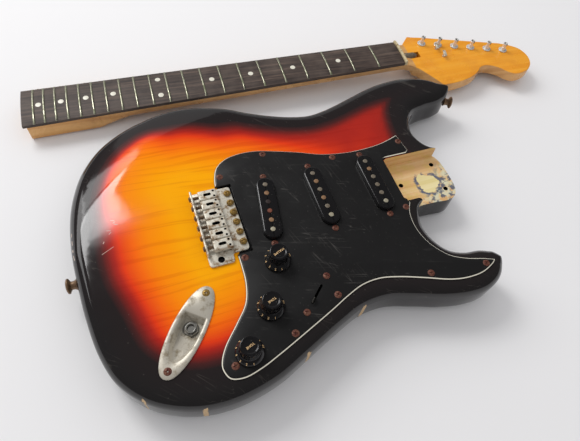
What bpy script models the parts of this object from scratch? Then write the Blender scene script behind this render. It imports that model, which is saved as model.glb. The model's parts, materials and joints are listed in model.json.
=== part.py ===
"""Electric guitar, taken apart: a contoured body lying on its back, with its hardware, and its detached neck.

The object's frame: +Z up from the table, +X along the neck towards the headstock, +Y towards the bass side.
Its origin is on the table, under the middle of the whole. All named sizes are in millimetres, and the helpers
that make the meshes turn them into metres.
"""

import math

import bmesh
import bpy
from mathutils import Matrix, Vector
from mathutils.geometry import delaunay_2d_cdt

MM = 0.001

# Clearances
GAP = 0.3
RUNNING_GAP = 0.35

# How far a cutter passes the face that it opens, and a joined piece reaches into its neighbour
THROUGH = 5.0
JOINT = 1.0
SEAM = 0.1

# Strings and scale
SCALE_LENGTH = 647.7
STRINGS = 6
STRING_PITCH = 11.27

# Body, in its own frame: x = 0 at the bridge end of the scale, y = 0 on the centre line, z = 0 at its back
BODY_THICK = 44.5
EDGE_ROUND = 12.7
HEEL_ROUND = 4.0
HEEL_ROUND_FROM = 207.0
HEEL_ROUND_FADE = 28.0
HEEL_ROUND_SIDE = 5.0
HEEL_ROUND_PLAIN = 3.0
ROUND_SHARE = 0.85
BODY_OUTLINE = (
    (246, 31.5), (240, 38), (237.5, 49), (240, 64), (247, 79), (258, 90), (276, 95.5), (297, 98),
    (310, 103.5), (316, 113), (310, 123.5), (296, 134.5), (278, 141.5), (256, 144), (232, 142),
    (212, 137.5), (192, 131), (171, 124), (150, 118), (130, 115), (111, 118), (86, 126.5), (62, 137.5),
    (38, 150), (3, 163), (-24, 166), (-51, 162), (-75, 153), (-103, 133.5), (-123, 106), (-134, 77),
    (-139.5, 50), (-141.8, 14), (-140.5, -23), (-138, -57), (-132, -93), (-122, -119), (-103, -141),
    (-81, -154), (-58, -161), (-31, -162.5), (5, -156), (35, -144), (74, -127.5), (100, -118.5),
    (127, -117.5), (153, -125), (179, -133.6), (204, -138.5), (224, -138), (240, -131.5), (249, -122),
    (251.5, -112.5), (246.5, -103.5), (235, -98), (218, -95.5), (204.5, -89), (195.5, -75.5),
    (192, -60), (193.5, -46), (197, -36), (205, -30.5), (222, -30), (243, -31), (251, -27.5),
    (256, -19), (257.5, 0), (256, 19), (252, 28),
)
FOREARM_ARC = ((-141, -15), (-62, 93), (70, 131))
FOREARM_SLOPE = 0.27
FOREARM_SOFT = 14.0
FOREARM_FADE = 50.0
BELLY_ARC = ((-75, 150), (20, 72), (160, 122))
BELLY_SLOPE = 0.3
BELLY_SOFT = 12.0

# Neck pocket
HEEL_WIDTH = 55.8
HEEL_LENGTH = 86.0
HEEL_THICK = 25.4
POCKET_START = 184.0
POCKET_DEPTH = 16.0
POCKET_CORNER = 6.0
POCKET_WALL_LENGTH = 18.0
POCKET_STEP = 6.0
NECK_SCREWS = ((198, 0), (245, 17), (245, -17))
NECK_SCREW_HOLE = 2.6

# Pickguard
GUARD_THICK = 2.3
GUARD_OUTLINE = (
    (1.5, 39), (3.5, 50), (9, 63), (21, 72), (39, 75.3), (56, 74), (74, 69), (98, 61), (121, 52),
    (145, 47.4), (162, 46.5), (186, 48), (203.5, 52), (213.5, 55.5), (217, 28.8), (183.4, 28.8),
    (183.4, -25), (188.5, -30.5), (182, -43), (180, -62), (185, -80.5), (197, -97), (211, -105),
    (229.5, -111), (239.5, -115), (236, -118), (221, -124), (203.5, -125), (186, -122), (162, -113),
    (139, -105), (121, -101), (103.5, -102), (86, -108), (68, -116), (39, -128), (9, -140),
    (-8, -146), (-24, -149), (-35, -146), (-39, -137), (-38, -130), (-32, -119), (-17, -102),
    (-5, -87), (0.6, -69), (2, -49), (2, -39.5), (17, -39.5), (17, 39),
)
GUARD_CORNERS = (0, 13, 14, 15, 16, 17, 24, 47, 48, 49)
GUARD_SCREWS = (
    (9.3, 50), (60.2, 67), (130.7, 43.5), (210.7, 45.2), (7.6, -44.8), (180.2, -36.1), (76.5, -104.4),
    (169.8, -110.2), (227.4, -116.7), (27.9, -126.5), (-28.2, -137.4),
)
SCREW_HEAD = 3.4
SCREW_HEAD_RISE = 1.3
SCREW_SHANK = 1.5
SCREW_SIDES = 7

# Pickups: x on the centre line, turn in degrees
PICKUPS = (("neck", 160.6, 0.0), ("middle", 100.8, 0.0), ("bridge", 45.2, -9.54))
POLE_PITCH = 10.4
POLE_RADIUS = 2.45
POLE_TOP = 5.4
COVER_LENGTH = 70.0
COVER_WIDTH = 18.4
COVER_WALL = 1.3
COVER_RISE = 4.9
COVER_DEPTH = 16.0
COIL_LENGTH = 62.0
COIL_WIDTH = 12.0
FLATWORK_LENGTH = 85.0
FLATWORK_WIDTH = 22.0
FLATWORK_THICK = 2.4
FLATWORK_CORNER = 5.0
HEIGHT_SCREW_SPAN = 39.0
PICKUP_ROUTE_LENGTH = 94.0
PICKUP_ROUTE_WIDTH = 29.0
PICKUP_ROUTE_DEPTH = 21.0
PICKUP_ROUTE_CORNER = 6.0
CHANNEL_WIDTH = 12.0
CHANNEL_STEP = 2.0

# Controls: x, y of each
KNOBS = (("volume", 35.5, -56.0), ("tone_1", 15.0, -98.0), ("tone_2", -14.0, -130.0))
KNOB_SKIRT = 12.6
KNOB_CAP = 8.4
KNOB_HEIGHT = 16.5
KNOB_LIFT = 0.9
KNOB_EDGE = 1.0
KNOB_TAPER = 0.4
KNOB_CAP_FOOT = 6.0
KNOB_SHOULDER = 2.2
KNOB_SKIRT_TOP = 4.2
KNOB_SKIRT_EDGE = 1.6
KNOB_WALL_PLAY = 1.4
POT_CASE_RADIUS = 11.0
POT_CASE_DEPTH = 10.0
POT_FLOOR = 1.0
BUSHING_RADIUS = 4.7
POT_NUT_RADIUS = 6.6
POT_NUT_THICK = 2.2
SHAFT_RADIUS = 3.0
SHAFT_RISE = 12.0
CONTROL_ROUTE = (
    (66, -34), (20, -34), (8, -52), (4, -72), (-4, -92), (-22, -113), (-31.5, -127), (-29, -139),
    (-14, -144.5), (12, -135), (40, -122.5), (66, -111.5), (82, -104), (88, -94), (84, -76), (74, -58),
)
CONTROL_DEPTH = 35.0

# Five-way switch, along the line of its two screws
SWITCH_SCREWS = ((73.3, -84.1), (43.9, -111.9))
SWITCH_SLOT_WIDTH = 2.2
SWITCH_SLOT_PLAY = 0.9
SWITCH_PIVOT_DEPTH = 15.0
SWITCH_SWING = 24.0
SWITCH_LEVER_REACH = 21.5
SWITCH_LEVER_WIDTH = 5.5
SWITCH_LEVER_THICK = 1.3
SWITCH_LEVER_TAIL = 4.0
SWITCH_PLATE_THICK = 1.5
SWITCH_PLATE_END = 5.0
SWITCH_PLATE_PLAY = 1.2
SWITCH_WALL_GAP = 1.2
SWITCH_WALL_THICK = 2.0
SWITCH_WALL_END = 4.0
SWITCH_WALL_FOOT = 8.0
SWITCH_PIN = 1.2

# Bridge
PLATE_BACK = -25.0
PLATE_FRONT = 15.0
PLATE_HALF_WIDTH = 36.5
PLATE_THICK = 2.0
PLATE_LIP_HEIGHT = 7.6
PLATE_LIP_THICK = 1.8
PLATE_LIP_INSET = 1.0
PLATE_CORNER = 4.0
PLATE_FRONT_CORNER = 2.5
PLATE_TAB_WIDTH = 10.5
PLATE_TAB_FRONT = -1.5
KNIFE_ANGLE = math.radians(10)
KNIFE_LENGTH = 10.0
ARM_HOLE = (-13.5, -40.5)
ARM_HOLE_RADIUS = 3.2
PIVOT_X = 11.0
PIVOT_HEAD = 3.6
PIVOT_HEAD_RISE = 2.2
PIVOT_SHANK = 1.7
PIVOT_PLAY = 0.9
SADDLE_LENGTH = 18.0
SADDLE_WIDTH = 10.7
SADDLE_FRONT = 0.5
SADDLE_LOW = 1.6
SADDLE_HEIGHT = 5.6
SADDLE_SLOT_LENGTH = 7.5
SADDLE_SLOT_WIDTH = 3.2
SADDLE_SLOT_BACK = 8.5
SADDLE_FOOT = 1.3
SADDLE_FOOT_INSET = 3.0
INTONATION_SHANK = 1.1
INTONATION_HEAD = 2.5
INTONATION_HEAD_THICK = 2.0
BLOCK_FRONT = 1.0
BLOCK_THICK = 13.0
BLOCK_HALF_WIDTH = 34.0
BLOCK_FOOT_HALF_WIDTH = 26.0
BLOCK_DEPTH = 39.0
BLOCK_SHOULDER_HIGH = 4.0
BLOCK_SHOULDER_LOW = 2.0
BLOCK_STRING_PITCH = 9.6
BLOCK_STRING_HOLE = 1.6

# Back route, springs, claw and cover
ROUTE_PLAY = 2.5
ROUTE_BACK_PLAY = 10.0
ROUTE_CORNER = 4.0
ROUTE_OVERLAP = 4.0
SPRING_ROUTE_DEPTH = 16.5
SPRING_ROUTE_END = 92.0
SPRING_RADIUS = 3.7
SPRING_WIRE = 0.6
SPRING_COILS = 6
SPRING_HEIGHT = 8.5
SPRING_END = 4.0
SPRING_PITCH = 15.0
CLAW_X = 74.0
CLAW_HALF_WIDTH = 22.0
CLAW_HEIGHT = 9.0
CLAW_THICK = 1.8
CLAW_SCREW = 1.7
CLAW_SCREW_REACH = 8.0
CLAW_HEAD_THICK = 2.4
COVER_PLATE_LENGTH = 143.0
COVER_PLATE_HALF_WIDTH = 33.0
COVER_PLATE_THICK = 2.3
COVER_PLATE_CENTRE = 33.0
COVER_CORNER = 4.0
COVER_SCREW_INSET = 3.6
COVER_SCREW_DEPTH = 8.0
STRING_SLOT_LENGTH = 46.0
STRING_SLOT_WIDTH = 9.0

# Jack
JACK_SCREWS = ((-34.9, -67.7), (-80.9, -124.7))
JACK_PLATE_LENGTH = 86.5
JACK_PLATE_WIDTH = 29.0
JACK_PLATE_THICK = 1.2
JACK_RECESS_LENGTH = 58.0
JACK_RECESS_WIDTH = 20.5
JACK_FLOOR_LENGTH = 42.0
JACK_FLOOR_WIDTH = 17.5
JACK_RECESS_DEPTH = 10.0
JACK_OFFSET = 4.5
JACK_HOLE = 5.0
JACK_BARREL = 4.6
JACK_BORE = 3.2
JACK_NUT = 6.4
JACK_NUT_THICK = 2.2
JACK_CASE = 7.9
JACK_CASE_FLOOR = 1.2
JACK_CASE_DEPTH = 14.2
JACK_RISE = 4.2
JACK_ROUTE_DEPTH = 32.0
JACK_ROUTE_PLAY = 1.0
JACK_PLATE_POINTS = 28
JACK_PLATE_POINTED = 0.9

# Strap buttons: place on the body's edge, and the way that each points
STRAP_BUTTONS = (("end", (-141.7, -15.0), (-1.0, 0.03)), ("horn", (313.9, 107.9), (0.88, -0.47)))
STRAP_BUTTON_HEIGHT = 22.0
STRAP_HEAD = 7.2
STRAP_WAIST = 3.9
STRAP_LENGTH = 10.0
STRAP_SEAT = 0.4
STRAP_DOME = 1.2
STRAP_RIM_LOW = 2.6
STRAP_UNDER = 4.4
STRAP_FLARE = 3.0

# Neck, in its own frame: x = 0 at the nut, +x towards the headstock, z = 0 on top of the fretboard's middle
NUT_WIDTH = 41.6
NUT_THICK = 3.4
NUT_RISE = 2.4
NUT_SLOPE = 0.7
NUT_SLOT_WIDTH = 0.9
NUT_SLOT_DEPTH = 1.0
NUT_SLOT_SIDE = 3.4
BOARD_PAST_FRETS = 12.9
BOARD_THICK = 5.2
BOARD_RADIUS = 190.0
BOARD_END_WIDTH = 55.8
FRETS = 21
FRET_WIDTH = 2.6
FRET_RISE = 1.1
FRET_ROOT = 0.2
FRET_MARGIN = 0.4
BOARD_PAST_HEEL = 4.0
NECK_DEPTH_FIRST = 21.0
NECK_DEPTH_TWELFTH = 23.0
HEAD_DROP = 10.0
HEAD_THICK = 14.5
HEAD_OUTLINE = (
    (15, 20.8), (20.5, 27), (30.7, 37.7), (155.7, -0.8), (169, -7.6), (180, -17), (184.7, -32),
    (181, -47), (169, -58.5), (149, -62), (139.5, -56), (133, -48), (123, -41), (115, -38.6),
    (107, -40), (99, -47), (88, -53.5), (75, -57.6), (61, -60), (41, -61), (34, -48), (27, -36),
    (20.5, -26), (15, -20.8),
)
HEAD_CORNERS = (2, 3, 19, 0, 23)
NECK_PILOT = 2.1
NECK_PILOT_DEPTH = 14.0
BULLET_X = 20.0
BULLET_RADIUS = 4.6
BULLET_LENGTH = 17.0
BULLET_NOSE = 5.0
BULLET_TIP = 8.0
BULLET_SINK = 0.8
BULLET_PLAY = 0.8
BULLET_ROOM = 5.0
ROD_RADIUS = 2.4
ROD_SHORT = 34.0

# Tuners, along the headstock's straight edge
TUNER_FIRST = (44.6, 19.5)
TUNER_PITCH = 23.0
TUNER_LINE_TURN = -17.8
HOUSING_LENGTH = 21.0
HOUSING_WIDTH = 16.0
HOUSING_DEPTH = 8.2
HOUSING_WALL = 1.5
HOUSING_INNER_SIDE = 1.0
BUSHING_TUNER = 4.6
BUSHING_FLANGE = 5.6
BUSHING_FLANGE_RISE = 1.4
POST_RADIUS = 3.0
POST_RISE = 11.5
POST_WAIST = 4.0
POST_WAIST_DEPTH = 0.7
BUTTON_REACH = 17.5
BUTTON_LENGTH = 12.5
BUTTON_WIDTH = 16.5
BUTTON_THICK = 6.6
BUTTON_SHAFT = 1.9
BUTTON_SHAFT_DEPTH = 3.2
BUTTON_NECK = 3.4
BUTTON_SHOULDER = 5.0
BUTTON_TAPER = 2.0
BUTTON_CORNER = 2.8
STRING_TREES = ((61.0, 6.0), (65.0, -10.0))
TREE_LENGTH = 11.0
TREE_WIDTH = 4.2
TREE_RISE = 5.5
TREE_THICK = 1.6
TREE_POST = 1.8
TREE_POST_RISE = 0.8
TREE_TURN = -12.0

# Where the neck lies, in the body's frame: the heel's end on the centre line
NECK_AT = (-170.1, 220.1)
NECK_TURN = -2.69

# What follows from the sizes above
BODY_LIFT = COVER_PLATE_THICK + GAP
TOP = BODY_THICK
GUARD_LOW = TOP + GAP
GUARD_TOP = GUARD_LOW + GUARD_THICK
SCREW_SEAT = GUARD_TOP + GAP
POCKET_FLOOR = TOP - POCKET_DEPTH
POCKET_HALF = HEEL_WIDTH / 2 + GAP
PLATE_LOW = TOP + GAP
PLATE_TOP = PLATE_LOW + PLATE_THICK
BLOCK_TOP = PLATE_LOW - GAP
BLOCK_FOOT = PLATE_LOW - BLOCK_DEPTH
CLAW_SCREW_SPAN = SPRING_PITCH / 2
SWITCH_TRAVEL = SWITCH_PIVOT_DEPTH * math.tan(math.radians(SWITCH_SWING))
SWITCH_EDGE = SWITCH_LEVER_WIDTH / 2 / math.cos(math.radians(SWITCH_SWING))
SWITCH_SLOT_LENGTH = 2 * (SWITCH_TRAVEL + SWITCH_EDGE + SWITCH_SLOT_PLAY)
BOARD_LENGTH = SCALE_LENGTH * (1 - 2 ** (-FRETS / 12)) + BOARD_PAST_FRETS
NECK_LENGTH = BOARD_LENGTH - BOARD_PAST_HEEL
ROD_END = NECK_LENGTH - ROD_SHORT
MAPLE_TOP = -BOARD_THICK - GAP
HEAD_BACK = -HEAD_DROP - HEAD_THICK
HOUSING_TOP = HEAD_BACK - GAP
HOUSING_FOOT = HOUSING_TOP - HOUSING_DEPTH

FINISHES = {
    "sunburst": ((0.75, 0.2, 0.02), 0.2, 0.0),
    "black": ((0.02, 0.02, 0.022), 0.35, 0.0),
    "steel": ((0.55, 0.53, 0.5), 0.35, 0.9),
    "brass": ((0.5, 0.36, 0.14), 0.45, 0.9),
    "maple": ((0.72, 0.4, 0.13), 0.3, 0.0),
    "rosewood": ((0.1, 0.07, 0.06), 0.5, 0.0),
    "bone": ((0.75, 0.68, 0.5), 0.4, 0.0),
}


def smooth_loop(points, steps, corners=()):
    """Samples of a closed centripetal Catmull-Rom curve, which turns sharply at the named corners."""
    spots = [Vector(point) for point in points]
    count = len(spots)
    loop = []
    for i in range(count):
        start, end = spots[i], spots[(i + 1) % count]
        before = 2 * start - end if i in corners else spots[i - 1]
        after = 2 * end - start if (i + 1) % count in corners else spots[(i + 2) % count]
        straight = i in corners and (i + 1) % count in corners
        for step in range(1 if straight else steps):
            loop.append(between(before, start, end, after, step / steps))
    return loop


def between(before, start, end, after, share):
    """The point at this share of the way from start to end on a centripetal Catmull-Rom curve."""
    row = [before, start, end, after]
    knots = [0.0]
    for first, second in zip(row, row[1:]):
        knots.append(knots[-1] + math.sqrt((second - first).length))
    at = knots[1] + (knots[2] - knots[1]) * share

    def mix(first, second, low, high):
        return (first * (knots[high] - at) + second * (at - knots[low])) / (knots[high] - knots[low])

    near = [mix(row[i], row[i + 1], i, i + 1) for i in range(3)]
    wide = [mix(near[i], near[i + 1], i, i + 2) for i in range(2)]
    return mix(wide[0], wide[1], 1, 2)


def filleted(corners, steps=4):
    """A closed outline through corners of (x, y, radius), each rounded by an arc of its own radius."""
    loop = []
    count = len(corners)
    for i, (x, y, radius) in enumerate(corners):
        here = Vector((x, y))
        back = (Vector(corners[i - 1][:2]) - here).normalized()
        ahead = (Vector(corners[(i + 1) % count][:2]) - here).normalized()
        half = back.angle(ahead) / 2
        if radius == 0:
            loop.append(here)
            continue
        middle = here + (back + ahead).normalized() * (radius / math.sin(half))
        start = here + back * (radius / math.tan(half)) - middle
        sweep = math.copysign(math.pi - 2 * half, start.cross(-back))
        for step in range(steps + 1):
            loop.append(middle + Matrix.Rotation(sweep * step / steps, 2) @ start)
    return loop


def rounded_bar(length, width, radius=None, centre=(0, 0), turn=0.0, corner_steps=4):
    """The outline of a bar with rounded corners, its length along y; turn is in degrees."""
    radius = width / 2 if radius is None else radius
    spots = []
    for quarter, (side_x, side_y) in enumerate(((1, 1), (-1, 1), (-1, -1), (1, -1))):
        middle = Vector((side_x * (width / 2 - radius), side_y * (length / 2 - radius)))
        for step in range(corner_steps + 1):
            angle = math.radians(90 * (quarter + step / corner_steps))
            spot = middle + radius * Vector((math.cos(angle), math.sin(angle)))
            if not spots or (spot - spots[-1]).length > 1e-3:
                spots.append(spot)
    if (spots[0] - spots[-1]).length < 1e-3:
        spots.pop()
    spin = Matrix.Rotation(math.radians(turn), 2)
    return [spin @ spot + Vector(centre) for spot in spots]


def circle_through(points):
    """Centre and radius of the circle through three points."""
    (ax, ay), (bx, by), (cx, cy) = points
    twice = 2 * (ax * (by - cy) + bx * (cy - ay) + cx * (ay - by))
    a2, b2, c2 = ax * ax + ay * ay, bx * bx + by * by, cx * cx + cy * cy
    centre = Vector((
        (a2 * (by - cy) + b2 * (cy - ay) + c2 * (ay - by)) / twice,
        (a2 * (cx - bx) + b2 * (ax - cx) + c2 * (bx - ax)) / twice,
    ))
    return centre, (Vector((ax, ay)) - centre).length


class Bench:
    """The two collections, the frames and the materials that every sub-part uses."""

    def __init__(self):
        for old in list(bpy.data.objects):
            bpy.data.objects.remove(old)
        self.parts = self.collection("Electric guitar")
        self.helpers = self.collection("Cutters")
        self.finishes = {name: self.material(name, *values) for name, values in FINISHES.items()}
        self.root = self.frame("guitar", None)
        self.body = self.frame("body_frame", self.root, at=(0, 0, BODY_LIFT))
        self.neck = self.frame("neck_frame", self.root)

    def collection(self, name):
        made = bpy.data.collections.new(name)
        bpy.context.scene.collection.children.link(made)
        return made

    def material(self, name, colour, roughness, metallic):
        made = bpy.data.materials.new(name)
        made.use_nodes = True
        made.diffuse_color = (*colour, 1)
        shader = made.node_tree.nodes["Principled BSDF"]
        shader.inputs["Base Color"].default_value = (*colour, 1)
        shader.inputs["Roughness"].default_value = roughness
        shader.inputs["Metallic"].default_value = metallic
        return made

    def frame(self, name, parent, at=(0, 0, 0), turn=(0, 0, 0)):
        """An empty that carries parts: at in millimetres, turn in degrees about X, Y and Z."""
        empty = bpy.data.objects.new(name, None)
        self.parts.objects.link(empty)
        empty.parent = parent
        empty.location = Vector(at) * MM
        empty.rotation_euler = [math.radians(angle) for angle in turn]
        return empty

    def part(self, name, shape, finish, carrier, smooth=40):
        """Makes this shape a named sub-part of the guitar."""
        shape.name = name
        shape.data.name = name
        shape.data.materials.clear()
        shape.data.materials.append(self.finishes[finish])
        shape.data.shade_smooth()
        shape.data.set_sharp_from_angle(angle=math.radians(smooth))
        self.parts.objects.link(shape)
        shape.parent = carrier
        return shape

    def helper(self, name, shape, carrier):
        """Makes this shape a cutter or an addition, which isn't a part itself."""
        shape.name = name
        shape.hide_render = True
        shape.display_type = "WIRE"
        self.helpers.objects.link(shape)
        shape.parent = carrier
        return shape

    def change(self, part, operation, name, shape):
        """Cuts the shape from the part, or joins it to the part."""
        step = part.modifiers.new(name, "BOOLEAN")
        step.operation = operation
        step.solver = "EXACT"
        step.object = self.helper(f"{part.name}_{name}", shape, part.parent)
        if operation == "DIFFERENCE":
            step.object.location = part.location

    def cut(self, part, name, shape):
        self.change(part, "DIFFERENCE", name, shape)

    def join(self, part, name, shape):
        self.change(part, "UNION", name, shape)


def as_object(bm, place=None):
    """The finished mesh, in metres, as an object that no collection holds yet."""
    if place is not None:
        bmesh.ops.transform(bm, matrix=place, verts=bm.verts)
    bmesh.ops.scale(bm, vec=(MM, MM, MM), verts=bm.verts)
    mesh = bpy.data.meshes.new("shape")
    bm.to_mesh(mesh)
    bm.free()
    return bpy.data.objects.new("shape", mesh)


def prism(outline, low, high, place=None):
    """A flat outline, filled, that reaches from low to high."""
    curve = bpy.data.curves.new("outline", "CURVE")
    curve.dimensions = "2D"
    curve.fill_mode = "BOTH"
    curve.extrude = (high - low) / 2
    spline = curve.splines.new("POLY")
    spline.points.add(len(outline) - 1)
    for spot, (x, y) in zip(spline.points, outline):
        spot.co = (x, y, 0, 1)
    spline.use_cyclic_u = True
    guide = bpy.data.objects.new("guide", curve)
    mesh = bpy.data.meshes.new_from_object(guide)
    bpy.data.objects.remove(guide)
    bm = bmesh.new()
    bm.from_mesh(mesh)
    bmesh.ops.remove_doubles(bm, verts=bm.verts, dist=1e-4)
    bmesh.ops.translate(bm, vec=(0, 0, (high + low) / 2), verts=bm.verts)
    bmesh.ops.recalc_face_normals(bm, faces=bm.faces)
    return as_object(bm, place)


def rods(rows, sides=12, place=None):
    """Round bars along Z, one for each row of x, y, radius, low and high."""
    bm = bmesh.new()
    for x, y, radius, low, high in rows:
        spot = Matrix.Translation((x, y, (low + high) / 2))
        bmesh.ops.create_cone(
            bm, cap_ends=True, segments=sides, radius1=radius, radius2=radius, depth=high - low, matrix=spot
        )
    return as_object(bm, place)


def holes(rows, sides=12, place=None):
    """Cutters for round holes, whose flats keep the whole radius clear."""
    wide = math.cos(math.pi / sides)
    return rods([(x, y, radius / wide, low, high) for x, y, radius, low, high in rows], sides, place)


def box(low, high, place=None):
    """A block between two corners."""
    low, high = Vector(low), Vector(high)
    bm = bmesh.new()
    size = Matrix.Diagonal((*(high - low), 1))
    bmesh.ops.create_cube(bm, size=1, matrix=Matrix.Translation((low + high) / 2) @ size)
    return as_object(bm, place)


def turned(profile, sides=24):
    """A turned solid about Z from a profile of (radius, height) that runs down its outer side."""
    mesh = bpy.data.meshes.new("profile")
    spots = [(radius * MM, 0, height * MM) for radius, height in profile]
    mesh.from_pydata(spots, [(i, i + 1) for i in range(len(spots) - 1)], [])
    shape = bpy.data.objects.new("turned", mesh)
    screw = shape.modifiers.new("turn", "SCREW")
    screw.steps = sides
    screw.render_steps = sides
    screw.use_merge_vertices = True
    screw.merge_threshold = 1e-6
    screw.use_smooth_shade = True
    return shape


def loft(rings, place=None):
    """A solid skin through rings of equal count, closed by a cap at each end."""
    bm = bmesh.new()
    rows = [[bm.verts.new(spot) for spot in ring] for ring in rings]
    count = len(rows[0])
    for near, far in zip(rows, rows[1:]):
        for i in range(count):
            j = (i + 1) % count
            bm.faces.new((near[i], near[j], far[j], far[i]))
    bm.faces.new(rows[0][::-1])
    bm.faces.new(rows[-1])
    bmesh.ops.triangulate(bm, faces=[face for face in bm.faces if len(face.verts) > 4])
    bmesh.ops.recalc_face_normals(bm, faces=bm.faces)
    return as_object(bm, place)


def ease(share):
    """Rises smoothly from 0 to 1."""
    share = min(1.0, max(0.0, share))
    return share * share * (3 - 2 * share)


def ring_gap(x, y, arc):
    """How far a point lies outside the circle of this arc, or 0 inside it."""
    centre, radius = circle_through(arc)
    return max(0.0, (Vector((x, y)) - centre).length - radius)


def forearm_drop(x, y):
    """How far the forearm contour lies below the flat top at this point."""
    reach = ring_gap(x, y, FOREARM_ARC)
    fade = ease((FOREARM_ARC[2][0] - x) / FOREARM_FADE)
    return FOREARM_SLOPE * reach * reach / (reach + FOREARM_SOFT) * fade


def belly_drop(x, y):
    """How far the belly contour lies above the flat back at this point: it fills a large circle."""
    centre, radius = circle_through(BELLY_ARC)
    reach = max(0.0, radius - (Vector((x, y)) - centre).length)
    return BELLY_SLOPE * reach * reach / (reach + BELLY_SOFT)


def edge_round(x, y):
    """The edge's radius in plan: small round the neck's heel, and within what the contours leave."""
    near = math.hypot(max(0.0, HEEL_ROUND_FROM - x), max(0.0, abs(y) - POCKET_HALF - HEEL_ROUND_SIDE))
    radius = HEEL_ROUND + (EDGE_ROUND - HEEL_ROUND) * ease((near - HEEL_ROUND_PLAIN) / HEEL_ROUND_FADE)
    wall = BODY_THICK - forearm_drop(x, y) - belly_drop(x, y)
    return min(radius, wall / 2 - JOINT)


def inscribed(loop, normals):
    """The radius, at each point, of the largest circle inside the outline that touches it there."""
    limits = []
    for spot, normal in zip(loop, normals):
        reach = [other - spot for other in loop]
        limits.append(min(d.length_squared / (2 * d.dot(normal)) for d in reach if d.dot(normal) > 1e-3))
    count = len(limits)
    for _ in range(4):
        limits = [min(limits[i], (limits[i - 1] + limits[(i + 1) % count]) / 2) for i in range(count)]
    return limits


def inward(loop):
    """The unit normal into the outline at each of its points."""
    count = len(loop)
    normals = []
    for i in range(count):
        along = loop[(i + 1) % count] - loop[i - 1]
        normals.append(Vector((-along.y, along.x)).normalized())
    return normals


def skin_cap(bm, rim, spacing, height, flat_height):
    """Fills a rim with triangles, and gives it inner corners where the surface isn't flat."""
    flat = [Vector((vert.co.x, vert.co.y)) for vert in rim]
    inner = []
    low_x, high_x = min(spot.x for spot in flat), max(spot.x for spot in flat)
    low_y, high_y = min(spot.y for spot in flat), max(spot.y for spot in flat)
    for row in range(1, int((high_y - low_y) / spacing)):
        for column in range(1, int((high_x - low_x) / spacing)):
            spot = Vector((low_x + spacing * (column + row % 2 / 2), low_y + spacing * row))
            near = min((spot - other).length for other in flat)
            bent = any(
                height(spot.x + step_x, spot.y + step_y) != flat_height
                for step_x, step_y in ((0, 0), (-spacing, spacing), (spacing, spacing))
            )
            if near > spacing * 0.5 and bent:
                inner.append(spot)
    edges = [(i, (i + 1) % len(flat)) for i in range(len(flat))]
    spots, _, triangles, _, _, _ = delaunay_2d_cdt(flat + inner, edges, [], 1, 1e-6)
    verts = list(rim)
    for spot in spots[len(flat):]:
        verts.append(bm.verts.new((spot.x, spot.y, height(spot.x, spot.y))))
    for triangle in triangles:
        bm.faces.new([verts[i] for i in triangle])


def body_shell(steps, round_steps, spacing):
    """The solid body before any cut: rounded edges all round, and the two contours."""
    loop = smooth_loop(BODY_OUTLINE, steps)
    normals = inward(loop)
    limits = inscribed(loop, normals)
    bm = bmesh.new()

    def ring(turn, top):
        spots = []
        for spot, normal, limit in zip(loop, normals, limits):
            radius = min(edge_round(spot.x, spot.y), limit * ROUND_SHARE)
            x, y = spot + normal * radius * (1 - math.cos(turn))
            rise = radius * (1 - math.sin(turn))
            z = BODY_THICK - forearm_drop(x, y) - rise if top else belly_drop(x, y) + rise
            spots.append(bm.verts.new((x, y, z)))
        return spots

    turns = [math.radians(90 * i / round_steps) for i in range(round_steps + 1)]
    rings = [ring(turn, True) for turn in reversed(turns)] + [ring(turn, False) for turn in turns]
    count = len(loop)
    for upper, lower in zip(rings, rings[1:]):
        for i in range(count):
            j = (i + 1) % count
            bm.faces.new((upper[j], upper[i], lower[i], lower[j]))
    skin_cap(bm, rings[0], spacing, lambda x, y: BODY_THICK - forearm_drop(x, y), BODY_THICK)
    skin_cap(bm, rings[-1], spacing, belly_drop, 0.0)
    bmesh.ops.recalc_face_normals(bm, faces=bm.faces)
    return as_object(bm)


def studs(profile, spots, sides):
    """Turned pieces about Z at these places, all of one profile of (radius, height) from bottom to top."""
    bm = bmesh.new()
    for x, y in spots:
        chain = [bm.verts.new((x + radius, y, height)) for radius, height in profile]
        edges = [bm.edges.new(pair) for pair in zip(chain, chain[1:])]
        bmesh.ops.spin(
            bm, geom=chain + edges, cent=(x, y, 0), axis=(0, 0, 1), angle=2 * math.pi, steps=sides,
            use_merge=True,
        )
    bmesh.ops.remove_doubles(bm, verts=bm.verts, dist=1e-4)
    bmesh.ops.recalc_face_normals(bm, faces=bm.faces)
    return as_object(bm)


def screws(spots, seat, foot, head=None, rise=None, shank=None):
    """Domed screws at these places, their heads at the seat and their ends at the foot."""
    head = SCREW_HEAD if head is None else head
    rise = SCREW_HEAD_RISE if rise is None else rise
    shank = SCREW_SHANK if shank is None else shank
    profile = (
        (0, foot), (shank, foot), (shank, seat), (head, seat), (head * 0.6, seat + rise), (0, seat + rise),
    )
    return studs(profile, spots, SCREW_SIDES)


def turned_way(direction):
    """The turn that takes +Z to this direction."""
    return Vector((0, 0, 1)).rotation_difference(Vector(direction).normalized()).to_matrix().to_4x4()


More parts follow.
